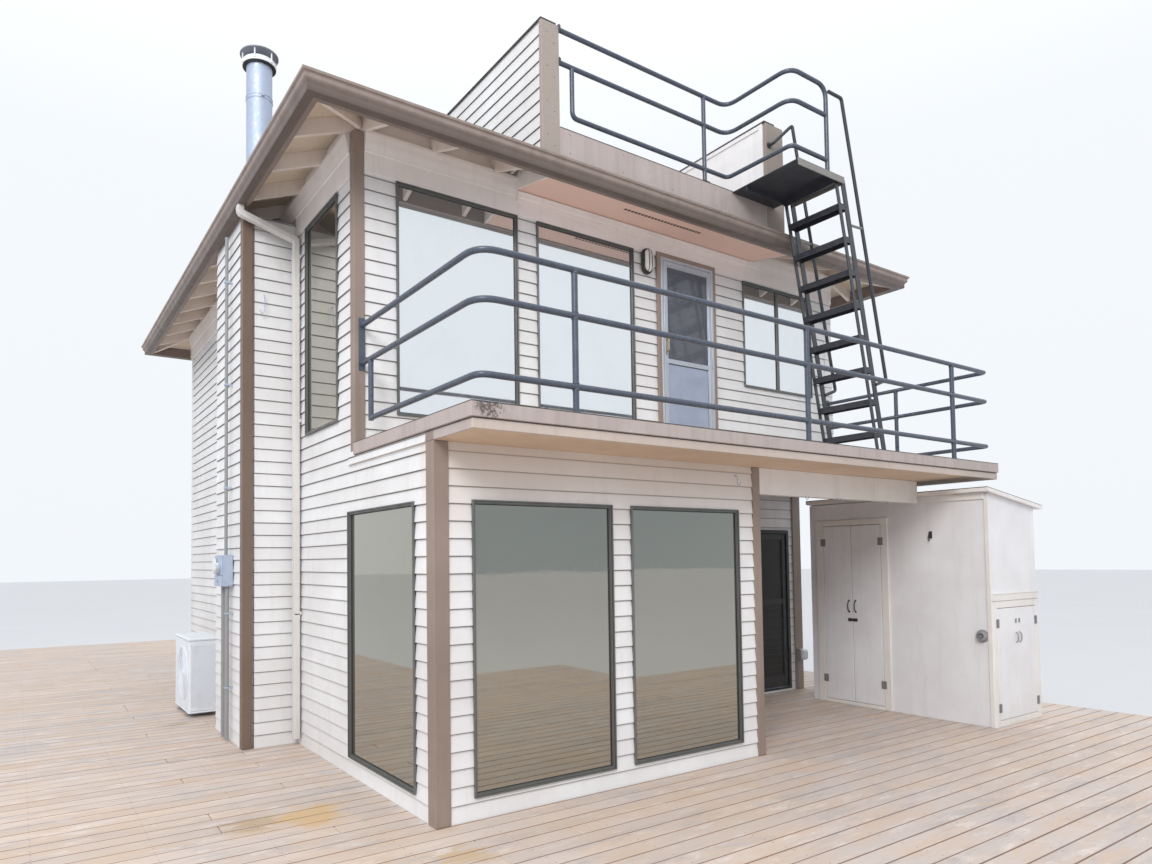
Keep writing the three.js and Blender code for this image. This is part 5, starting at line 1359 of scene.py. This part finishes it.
def storm_door():
    casing, metal, dark = 0, 1, 2
    f = Build()
    x0, x1, z0, z1 = STORM
    wall = UPPER_Y
    y0, y1 = wall - 0.024, wall + 0.14
    trim_y, trim_top = (y0, wall - 0.0005), c(42.45)
    f.box((c(28.53), x0 + 0.006), trim_y, (z0, trim_top), casing, 0.003)
    f.box((x1 - 0.002, c(36.1)), trim_y, (z0, trim_top), casing, 0.003)
    f.box((x0 + 0.006, x1 - 0.002), trim_y, (z1 - 0.006, trim_top), casing, 0.003)
    for inset, y, face, slot, sill in ((0, (wall + 0.002, y1), 0.03, casing, 0.02),
                                       (0.0005, (y0 - 0.004, wall + 0.0015), 0.0295, metal, 0.018),
                                       (0.0185, (wall + 0.006, wall + 0.02), 0.03, dark, 0.022)):
        door_ring(f, x0 + inset, x1 - inset, z0, z1 - inset, y, face, slot, sill)
    axis = (x1 - 0.035 + LEAF_GAP / 2, wall - 0.036)
    barrels(f, *axis, STORM_HINGES, False, metal)
    for z in STORM_HINGES:
        for up in ((z - 0.045, z - 0.015), (z + 0.015, z + 0.045)):
            f.box(span(axis[0], 0.03), (wall - 0.0315, y0 - 0.003), up, metal, 0.001)
    make("storm_frame", f, [TRIM, DOOR_METAL, GASKET], ("storm_door_frame",))
    skin, clear, hazy, seal, brass = range(5)
    b = Build()
    lx0, lx1, lz0, lz1 = x0 + 0.035, x1 - 0.035, z0 + 0.025, z1 - 0.035
    ya, yb = wall - 0.03, wall + 0.004
    stile, half = 0.043, 0.024
    in0, in1 = lx0 + stile, lx1 - stile
    door_ring(b, lx0, lx1, lz0, lz1, (ya, yb), stile)
    door_ring(b, in0, in1, lz0 + stile, lz1 - stile, (ya + 0.006, yb - 0.006), 0.014)
    b.box((in0, in1), (ya + 0.002, yb - 0.002), about(STORM_MID, half), skin)
    b.box((in0 + 0.012, in1 - 0.012), (ya + 0.009, yb - 0.009), (lz0 + 0.07, lz0 + 0.245), skin, 0.006)
    b.box((in0, in1), (ya + 0.004, yb - 0.004), (lz0 + 0.236, lz0 + 0.262), skin)
    for low, high, pane in ((lz0 + 0.262, STORM_MID - half, hazy), (STORM_MID + half, lz1 - stile, clear)):
        b.box((in0 + 0.006, in1 - 0.006), (ya + 0.015, ya + 0.02), (low - 0.006, high + 0.006), pane, 0.001)
        door_ring(b, in0 + 0.01, in1 - 0.01, low, high, (ya + 0.01, ya + 0.015), 0.005, seal, edge=0.001)
    hx = lx0 + 0.022
    b.box(about(hx, 0.013), (ya - 0.004, ya), (c(33.1), c(34.9)), brass)
    pull(b, hx, ya - 0.001, ya - 0.038, c(33.4), c(34.55), c(0.05), 0.007, brass)
    b.turned([(0.007, 0), (0.007, 0.004), (0.005, 0.006)], (hx, ya - 0.004, c(33.25)), FORWARD, brass, 14)
    barrels(b, *axis, STORM_HINGES, True, skin)
    for z in STORM_HINGES:
        b.box((axis[0] - 0.03, axis[0]), (ya - 0.003, ya + 0.001), about(z, BARREL_HALF), skin, 0.001)
    make("storm_leaf", b, [DOOR_METAL, CLEAR, HAZY, GASKET, BRASS], ("storm_door",),
         "storm_door_leaf")


def sliding_doors():
    frame_slot, track, pane = 0, 1, 2
    f = Build()
    x0, x1, z0, z1 = SLIDER
    mid = (x0 + x1) / 2
    y = PORCH_Y
    door_ring(f, x0, x1, z0, z1, (y - 0.004, y + 0.126), 0.045, frame_slot, 0.024)
    f.box((x0 + 0.045, x1 - 0.045), (y + 0.014, y + 0.036), (z0 + 0.0245, z0 + 0.0297), track, 0.001)
    f.box((x0 + 0.045, x1 - 0.045), (y + 0.044, y + 0.047), (z0 + 0.0245, z0 + 0.034), track, 0.001)
    for u0, u1, deep in ((x0 + 0.045, mid + 0.03, y + 0.05), (mid + 0.0305, x1 - 0.046, y + 0.082)):
        door_ring(f, u0, u1, z0 + 0.026, z1 - 0.046, span(deep, 0.03), 0.05, frame_slot)
        glass = (x0 + 0.09, mid - 0.015) if u0 < mid else (mid + 0.075, x1 - 0.09)
        f.box(glass, (deep + 0.012, deep + 0.02), (z0 + 0.07, z1 - 0.09), pane)
    make("slider_surround", f, [BLACK, ZINC, DARK_PANE], ("slider_frame",))
    b = Build()
    lx0, lx1, lz0, lz1 = mid + 0.04, x1 - 0.05, z0 + 0.035, z1 - 0.05
    low_rail, high_rail = c(9.55), c(10.1)
    door_ring(b, lx0, lx1, lz0, lz1, (y + 0.01, y + 0.04), 0.068, 0, 0.13)
    b.box((lx0 + 0.068, lx1 - 0.068), (y + 0.013, y + 0.037), (low_rail, high_rail))
    door_ring(b, lx0 + 0.066, lx1 - 0.066, lz0 + 0.128, lz1 - 0.066, (y + 0.016, y + 0.034), 0.012,
              edge=0.001)
    for up in ((lz0 + 0.125, low_rail + 0.002), (high_rail - 0.002, lz1 - 0.064)):
        b.box((lx0 + 0.07, lx1 - 0.07), (y + 0.022, y + 0.0245), up, 1, 0.0005)
    for k in range(12):
        z = lz0 + 0.19 + k * 0.072
        if z < c(9.3):
            b.box((lx0 + 0.078, lx1 - 0.078), (y + 0.0185, y + 0.0205), span(z, 0.005), 0, 0.0005)
    b.box((lx0 + 0.018, lx0 + 0.048), (y + 0.005, y + 0.01), (c(8.3), c(9.7)))
    pull(b, lx0 + 0.033, y + 0.006, y - 0.022, c(8.55), c(9.45), c(0.05), 0.006, 0)
    for x in (mid + 0.08, x1 - 0.15):
        b.box(span(x, 0.06), (y + 0.018, y + 0.032), (z0 + 0.0303, z0 + 0.04), 0, 0.001)
    make("slider_leaf", b, [BLACK, SCREEN], ("sliding_door",), "sliding_door_leaf")


KNOB = [(0.027, 0), (0.027, 0.003), (0.022, 0.006), (0.011, 0.008), (0.01, 0.02), (0.018, 0.026),
        (0.024, 0.034), (0.021, 0.043), (0.012, 0.048), (0, 0.049)]


def rear_door():
    b = Build()
    inner = HOUSE_Y - 0.07
    x0, x1, z0, z1 = REAR[0] + 0.006, REAR[1] - 0.006, REAR[2] + 0.008, REAR[3] - 0.006
    mullion = about((x0 + x1) / 2, 0.05)
    b.box((x0, x1), (inner + 0.008, inner + 0.037), (z0, z1))
    for y in ((inner, inner + 0.0078), (inner + 0.0372, inner + 0.045)):
        door_ring(b, x0, x1, z0, z1, y, 0.115, 0, 0.2)
        b.box((x0 + 0.115, x1 - 0.115), y, (0.88, 1.02))
        for up in ((z0 + 0.2, 0.88), (1.02, z1 - 0.115)):
            b.box(mullion, y, up)
    hinge_x = REAR[0] + 0.0063
    barrels(b, hinge_x, inner - 0.006, REAR_HINGES, True, 1)
    for z in REAR_HINGES:
        b.box((hinge_x, REAR[0] + 0.036), (inner - 0.003, inner + 0.001), about(z, BARREL_HALF), 1, 0.001)
    for out, y in ((1, inner + 0.045), (-1, inner)):
        b.turned(KNOB, (REAR[1] - 0.07, y, c(8.8)), (0, out, 0), 1)
    make("rear_leaf", b, [TRIM, BRASS], ("rear_door",), "rear_door_leaf")


storm_door()
sliding_doors()
rear_door()


# Shed under the balcony's right end; its roof falls to the right
SHED_X = (c(50), c(58.4))
SHED_Y = (c(-5.65), c(11.9))
SHED_Z = (c(20.05), c(18.95))
SHED_T = 0.045
SHED_DOOR = (c(4.05), c(10.3), 0.04, c(17.8))
LOCKER = (c(50.75), c(57.75), 0.06, c(10.1))
SHED_FACE = SHED_X[0] - 0.018
LOCKER_FACE = SHED_Y[0] - 0.018
SHED_HINGES = (c(2.4), c(16.13))
LOCKER_HINGES = (c(1.6), c(8.8))
SHED_PLATE, LOCKER_PLATE = 0.03, 0.028
LEAF_T = 0.02
SHADE_LAMP = [(0.062, 0), (0.062, 0.006), (0.056, 0.01), (0.048, 0.011), (0.047, 0.045), (0.042, 0.052),
              (0.03, 0.053), (0.029, 0.03), (0.01, 0.029), (0.01, 0.05), (0, 0.051)]


def shed_top(x):
    return SHED_Z[0] + (SHED_Z[1] - SHED_Z[0]) * (x - SHED_X[0]) / (SHED_X[1] - SHED_X[0])


class Wall:
    """Draws on a wall of the shed: along it, up, and depth behind its face (less than 0 stands out)."""

    def __init__(self, build, axis, face):
        self.build = build
        self.axis = axis
        self.face = face

    def spot(self, along, depth, z):
        deep = self.face + depth
        return (deep, along, z) if self.axis == "y" else (along, deep, z)

    def box(self, along, depth, z, slot=0, edge=0.002):
        deep = (self.face + depth[0], self.face + depth[1])
        self.build.box(*((deep, along) if self.axis == "y" else (along, deep)), z, slot, edge)

    def turned(self, profile, along, depth, z, slot, sides):
        way = LEFTWARD if self.axis == "y" else FORWARD
        self.build.turned(profile, self.spot(along, depth, z), way, slot, sides)

    def screw(self, along, depth, z, slot):
        self.build.screw(self.spot(along, depth, z), LEFTWARD if self.axis == "y" else FORWARD, 0.004, slot)

    def tube(self, points, radius, slot, sides=12, bend=0.02):
        self.build.tube([self.spot(*p) for p in points], radius, slot, sides, bend)

    def hinge(self, at, height, leaf, slot, reach):
        """One half of a wrap-round hinge: its barrel and a screwed plate that reaches along the wall."""
        for lo, hi in [(-BARREL_HALF, BARREL_HALF)] if leaf else [(-0.042, -0.015), (0.015, 0.042)]:
            x, y, _ = self.spot(at, -0.005, 0)
            self.build.turned([(0.0045, height + lo), (0.0045, height + hi)], (x, y, 0), slot=slot, sides=12)
        near = at + math.copysign(0.005, reach)
        self.box(sorted((near, at + reach)), (-0.0035, 0.0005), about(height, 0.042), slot, 0.001)
        for z in (-0.026, 0.026):
            self.screw((near + at + reach) / 2, -0.0035, height + z, slot)


def shed_walls():
    wall, trim, iron, grey, steel = range(5)
    b = Build()
    x0, x1 = SHED_X
    y0, y1 = SHED_Y
    d0, d1, dz0, dz1 = SHED_DOOR
    side = Wall(b, "y", SHED_FACE)
    top = shed_top(x0 + SHED_T) - 0.001
    for lo, hi, za, zb in ((y0, d0, 0, top), (d1, y1, 0, top), (d0, d1, dz1, top), (d0, d1, 0, dz0)):
        b.box((x0, x0 + SHED_T), (lo, hi), (za, zb), wall, 0.001)
    top = c(18.35)
    for lo, hi, za, zb in ((c(3.35), d0, 0, top), (d1, c(11.15), 0, top), (d0, d1, dz1, top),
                           (d0, d1, 0, dz0)):
        b.box((SHED_FACE, x0), (lo + 0.0003, hi - 0.0003), (za, zb), trim, 0.003)
    b.box((x0 - 0.016, x0), (c(-5.4), c(1.05)), (c(19.5), shed_top(x0 - 0.016)), trim, 0.003)
    b.box((x0 - 0.012, x0), (y0 - 0.012, y0 + 0.03), (0, c(19.45)), trim, 0.003)
    for y, reach in ((d0 + LEAF_GAP / 2, -SHED_PLATE), (d1 - LEAF_GAP / 2, SHED_PLATE)):
        for z in SHED_HINGES:
            side.hinge(y, z, False, steel, reach)
    y, z = c(-0.7), c(16.5)
    b.box((x0 - 0.004, x0), about(y, 0.018), (z - 0.03, z + 0.045), iron)
    hook = ((0.003, 0.03), (0.03, 0.028), (0.05, -0.03), (0.034, -0.055), (0.018, -0.035))
    b.tube([(x0 - out, y, z + up) for out, up in hook], 0.0045, iron, 10, 0.012)
    b.turned(SHADE_LAMP, (x0, c(-4.94), c(7.73)), LEFTWARD, grey, 28)
    make("shed_side", b, [SHED_PAINT, SHED_TRIM_PAINT, IRON, GREY, HINGE],
         ("shed_door_wall",))
    f = Build()
    wall, trim, steel = range(3)
    a0, a1, z0, z1 = LOCKER
    end = Wall(f, "x", LOCKER_FACE)
    for lo, hi, za in ((x0 + SHED_T, a0, 0), (a1, x1 - SHED_T, 0), (a0, a1, z1)):
        outline = [(lo, za), (hi, za), (hi, shed_top(hi) - 0.001), (lo, shed_top(lo) - 0.001)]
        f.prism("y", outline, y0, y0 + SHED_T, wall)
    f.box((a0, a1), (y0, y0 + SHED_T), (0, z0), wall, 0.001)
    top = c(10.7)
    for lo, hi, za, zb in ((x0, a0, 0, top), (a1, x1, 0, top), (a0, a1, z1, top), (a0, a1, 0, z0)):
        f.box((lo + 0.0003, hi - 0.0003), (LOCKER_FACE, y0), (za, zb), trim, 0.003)
    f.box((x0 - 0.004, x1 + 0.004), (LOCKER_FACE - 0.006, y0), (c(10.72), c(11.3)), trim, 0.003)
    f.box((x0 - 0.004, x1 + 0.004), (LOCKER_FACE - 0.01, y0), span(c(11.3), 0.006), trim, 0.001)
    for x, reach in ((a0 + LEAF_GAP / 2, -LOCKER_PLATE), (a1 - LEAF_GAP / 2, LOCKER_PLATE)):
        for z in LOCKER_HINGES:
            end.hinge(x, z, False, steel, reach)
    make("shed_end", f, [SHED_PAINT, SHED_TRIM_PAINT, HINGE], ("shed_front_wall",))


def leaf(wall, low, high, up, batten, heights, plate, first):
    """The board of a small door with its battens and leaf hinges; the first one is hung at its low end."""
    axis = low - LEAF_GAP / 2 if first else high + LEAF_GAP / 2
    wall.box((low, high), (0, LEAF_T), up, 0, 0.003)
    for z in batten:
        wall.box((low + 0.02, high - 0.02), span(LEAF_T, 0.006), z)
    for height in heights:
        wall.hinge(axis, height, True, 2, plate if first else -plate)


def bow(wall, at, z, half, shoulder, mid_out, out):
    """A bowed pull on a small door."""
    run = ((-0.001, -half), (-mid_out, -shoulder), (-out, 0), (-mid_out, shoulder), (-0.001, half))
    wall.tube([(at, y, z + up) for y, up in run], 0.0055, 1)


def shed_leaves():
    d0, d1, z0, z1 = SHED_DOOR
    mid = (d0 + d1) / 2
    z0, z1 = z0 + LEAF_GAP, z1 - LEAF_GAP
    pull_z, hasp_z = c(9.77), c(8.43)
    for name, low, high in (("right", d0 + LEAF_GAP, mid - 0.003), ("left", mid + 0.003, d1 - LEAF_GAP)):
        b = Build()
        w = Wall(b, "y", SHED_FACE)
        right = name == "right"
        rails = ((z0 + 0.05, z0 + 0.13), (z1 - 0.13, z1 - 0.05))
        leaf(w, low, high, (z0, z1), rails, SHED_HINGES, SHED_PLATE, right)
        at = mid - 0.04 if right else mid + 0.04
        bow(w, at, pull_z, 0.062, 0.045, 0.022, 0.032)
        for end in (-0.062, 0.062):
            w.turned([(0.011, 0), (0.011, 0.002), (0.007, 0.004)], at, 0, pull_z + end, 1, 14)
        plate = (mid - 0.06, mid - 0.006) if right else (mid + 0.004, mid + 0.058)
        w.box(plate, (-0.003, 0), about(hasp_z, 0.018), 1, 0.001)
        if not right:
            w.box((mid - 0.045, mid + 0.05), (-0.0075, -0.0035), about(hasp_z, 0.014), 1, 0.001)
        make("shed_leaf_" + name, b, [SHED_PAINT, IRON, HINGE], (f"shed_door_{name}",),
             f"shed_door_{name}_leaf")
    a0, a1, z0, z1 = LOCKER
    mid = (a0 + a1) / 2
    z0, z1 = z0 + LEAF_GAP, z1 - LEAF_GAP
    for name, low, high in (("left", a0 + LEAF_GAP, mid - 0.003), ("right", mid + 0.003, a1 - LEAF_GAP)):
        b = Build()
        w = Wall(b, "x", LOCKER_FACE)
        left = name == "left"
        leaf(w, low, high, (z0, z1), ((z0 + 0.05, z0 + 0.12),), LOCKER_HINGES, LOCKER_PLATE, left)
        at = mid - 0.035 if left else mid + 0.035
        w.box(about(at, 0.01), (-0.01, 0), about(c(8.9), 0.022), 1)
        bow(w, at, c(7.45), 0.052, 0.04, 0.018, 0.026)
        make("locker_leaf_" + name, b, [SHED_PAINT, GREY, HINGE], (f"locker_door_{name}",),
             f"locker_door_{name}_leaf")


def shed_cover():
    b = Build()
    y0, y1 = SHED_Y[0] - 0.045, SHED_Y[1]
    x0, x1 = SHED_X[0] - 0.07, SHED_X[1] + 0.11
    edge = 0.0178
    for a, d, low, high, front, back, slot in (
            (x0 + 0.018, x1 - 0.018, (0.001, 0.001), (0.036, 0.036), y0 + 0.018, y1, 0),
            (x0, x0 + edge, (0.002, 0.002), (0.037, 0.037), y0, y1, 1),
            (x1 - edge, x1, (0.002, 0.002), (0.037, 0.037), y0, y1, 1),
            (x0 + 0.018, x1 - 0.018, (0, 0), (0.037, 0.037), y0, y0 + edge, 1),
            (x0, x1, (0.0372, 0.0372), (0.0412, 0.0412), y0, y1, 2),
            (x0, x1, (0.0412, 0.0412), (0.0452, 0.0452), y0 + 0.006, y1 - 0.002, 3)):
        b.prism("y", [(a, shed_top(a) + low[0]), (d, shed_top(d) + low[1]), (d, shed_top(d) + high[1]),
                      (a, shed_top(a) + high[0])], front, back, slot)
    make("shed_cover", b, [SHED_PAINT, SHED_TRIM_PAINT, FLASHING, ROOFING], ("shed_roof",))


shed_walls()
shed_leaves()
shed_cover()


# Fixtures on the walls and the heat pump on the deck
LAMP_SIDES = 36


def wall_lamp():
    """Oval bulkhead light: black body and guard round a white lens."""
    b = Build()
    x, z = c(27.3), c(41.24)
    half_w, half_h = 0.066, 0.132
    wall = UPPER_Y - 0.0108

    def oval(scale, out):
        ring = []
        for k in range(LAMP_SIDES):
            a = 2 * math.pi * (k + 0.5) / LAMP_SIDES
            lift = math.copysign(half_h - half_w, math.sin(a))
            ring.append(Vector((x + math.cos(a) * half_w * scale, wall - out,
                                z + lift * (0.5 + scale / 2) + math.sin(a) * half_w * scale)))
        return ring

    b.loft([oval(*level) for level in ((1.0, 0), (1.0, 0.022), (0.93, 0.03), (0.85, 0.03))], 0)
    dome = ((0.84, 0.02), (0.83, 0.045), (0.74, 0.06), (0.5, 0.068), (0.1, 0.071))
    b.loft([oval(*level) for level in dome], 1)
    ring = oval(0.86, 0.04)
    b.tube(ring + [ring[0]], 0.0055, 0, 8)
    for dx in (-0.018, 0.018):
        guard = ((0.028, 0.93), (0.066, 0.74), (0.077, 0), (0.066, -0.74), (0.028, -0.93))
        b.tube([(x + dx, wall - out, z + half_h * up) for out, up in guard], 0.0042, 0, 8, 0.03)
    make("wall_lamp", b, [IRON, LENS])


def wire_hook(b, x, y, z, drop=0.075):
    b.turned([(0.009, 0), (0.009, 0.002), (0.005, 0.003)], (x, y, z), FORWARD, 0, 12)
    run = ((0.001, 0), (0.022, 0.004), (0.026, drop), (0.044, drop + 0.012), (0.058, drop - 0.018))
    b.tube([(x, y - out, z - down) for out, down in run], 0.003, 0, 8, 0.014)


def hooks():
    b = Build()
    wire_hook(b, c(24.8), -0.0005, c(20.75))
    for x in (c(33), c(37.2), c(44)):
        wire_hook(b, x, 0.02, c(19.5) + 0.012, 0.03)
    run = ((-2.75, 0.001, 36.6), (-2.75, 0.03, 36.6), (-2.75, 0.034, 35.2), (-3, 0.04, 34.9),
           (-3.15, 0.04, 35.3))
    b.tube([(c(x), CHASE_Y[0] - out, c(z)) for x, out, z in run], 0.0035, 0, 8, 0.03)
    make("wire_hooks", b, [ZINC])


def outlet_box():
    """Weatherproof outlet with a bubble cover, at the porch's right end."""
    b = Build()
    x0, x1, z0, z1 = c(53.35), c(54.55), c(3.2), c(4.45)
    y = PORCH_Y - 0.0165
    b.box(span(x0, 0.025), (y - 0.055, y), (z0, z1), 1, 0.004)
    b.box((x0 + 0.02, x1), (y - 0.085, y - 0.005), (z0 + 0.008, z1 - 0.008), 0, 0.022)
    b.box((x0 + 0.012, x1 - 0.02), (y - 0.012, y), (z0 + 0.002, z1 - 0.002), 0, 0.003)
    b.tube([(x0 + 0.01, y - 0.02, z0), (x0 + 0.01, y - 0.02, 0.02)], 0.01, 1, 12)
    make("outlet_box", b, [WHITE, GREY])


METER_AT = (CHASE_X, 3.2, 1.465)
METER_SIZE = 0.3


def meter():
    """Electric meter: cabinet, round glass register with plain dial plate, and its conduit."""
    b = Build()
    case, glass, grey = range(3)
    x, y, z = METER_AT
    cover, top = (y + 0.003, y + METER_SIZE - 0.003), z + METER_SIZE
    b.box((x - 0.092, x), (y, y + METER_SIZE), (z, top), case, 0.006)
    b.box((x - 0.11, x - 0.0925), cover, (z + 0.003, z + 0.105), case, 0.004)
    b.box((x - 0.104, x - 0.0925), cover, (z + 0.108, top - 0.003), case, 0.004)
    dial = (x - 0.104, y + 0.15, z + 0.195)
    b.turned([(0.088, 0), (0.088, 0.01), (0.082, 0.014), (0.078, 0.012)], dial, LEFTWARD, case, 36)
    lens = [(0.076, 0.006), (0.075, 0.034), (0.068, 0.044), (0.02, 0.046), (0, 0.046)]
    b.turned(lens, dial, LEFTWARD, glass, 36)
    b.turned([(0.012, 0), (0.012, 0.004), (0.005, 0.008)], (x - 0.11, y + 0.15, z + 0.05), LEFTWARD, grey, 16)
    pipe_x = x - 0.045
    for at in (y + 0.06, y + 0.21):
        b.tube([(pipe_x, at, z + 0.004), (pipe_x, at, 0.02)], 0.02, grey, 18)
    b.tube([(pipe_x, y + 0.1, top - 0.004), (pipe_x, y + 0.1, 4.85)], 0.016, grey, 18)
    for up in (0.5, 1.2, 2.4, 3.4, 4.4):
        strap = about(y + 0.1, 0.019) if up > z else about(y + 0.06, 0.023)
        b.box((x - 0.0655, x), strap, span(up, 0.018), case, 0.001)
    make("electric_meter", b, [ZINC, PANE, GREY], ("meter_box",))


def heat_pump():
    """Outdoor unit: painted case with a fan grille, side fins, a lid, feet and its pipes."""
    b = Build()
    x0, x1, y0, y1, z1 = -0.64, -0.31, 4.65, 5.5, 0.865
    case, dark, pipes = range(3)
    b.box((x0 + 0.014, x1), (y0 + 0.01, y1), (0.062, z1 - 0.03), case, 0.008)
    b.box((x0 + 0.004, x1 + 0.004), (y0, y1 + 0.004), (z1 - 0.03, z1), case, 0.01)
    b.box((x0 + 0.008, x1 + 0.002), (y0 + 0.006, y1 + 0.002), (0.045, 0.063), case, 0.004)
    for y in (y0 + 0.14, y1 - 0.2):
        b.box((x0 + 0.004, x1 - 0.004), span(y, 0.055), (0, 0.012), dark, 0.003)
        b.box((x0 + 0.03, x1 - 0.03), (y + 0.005, y + 0.05), (0.012, 0.046), dark, 0.004)
    hub = (x0 + 0.0135, y0 + 0.36, 0.455)

    def polar(r, a, out):
        return hub[0] - out, hub[1] + r * math.cos(a), hub[2] + r * math.sin(a)

    b.turned([(0.3, 0), (0.3, 0.004), (0.288, 0.008), (0.284, 0.002)], hub, LEFTWARD, case, 48)
    b.turned([(0, 0.0005), (0.283, 0.0005), (0.283, 0.0015), (0, 0.0015)], hub, LEFTWARD, dark, 48)
    for k in range(9):
        b.tube([polar(0.05 + 0.029 * k, a * math.pi / 18, 0.006) for a in range(37)], 0.0022, case, 6)
    for k in range(8):
        b.tube([polar(r, k * math.pi / 4, 0.004) for r in (0.03, 0.286)], 0.003, case, 6)
    b.turned([(0.036, 0.003), (0.034, 0.01), (0.02, 0.0125), (0, 0.013)], hub, LEFTWARD, case, 30)
    for k in range(26):
        b.box(span(x0 + 0.035 + k * 0.0105, 0.003), (y0 + 0.0055, y0 + 0.0102), (0.11, z1 - 0.075), case,
              0.0008)
    b.box((x0 + 0.0115, x0 + 0.0142), (y1 - 0.175, y1 - 0.012), (0.09, z1 - 0.05), case, 0.002)
    for z in (0.25, 0.34):
        run = ((x1 - 0.02, z), (x1 + 0.06, z), (x1 + 0.06, 0.08), (-0.004, 0.08))
        b.tube([(x, y1 - 0.08, up) for x, up in run], 0.014, pipes, 12, 0.05)
    make("heat_pump", b, [WHITE, GREY, WHITE], ("outdoor_unit",))


wall_lamp()
hooks()
outlet_box()
meter()
heat_pump()
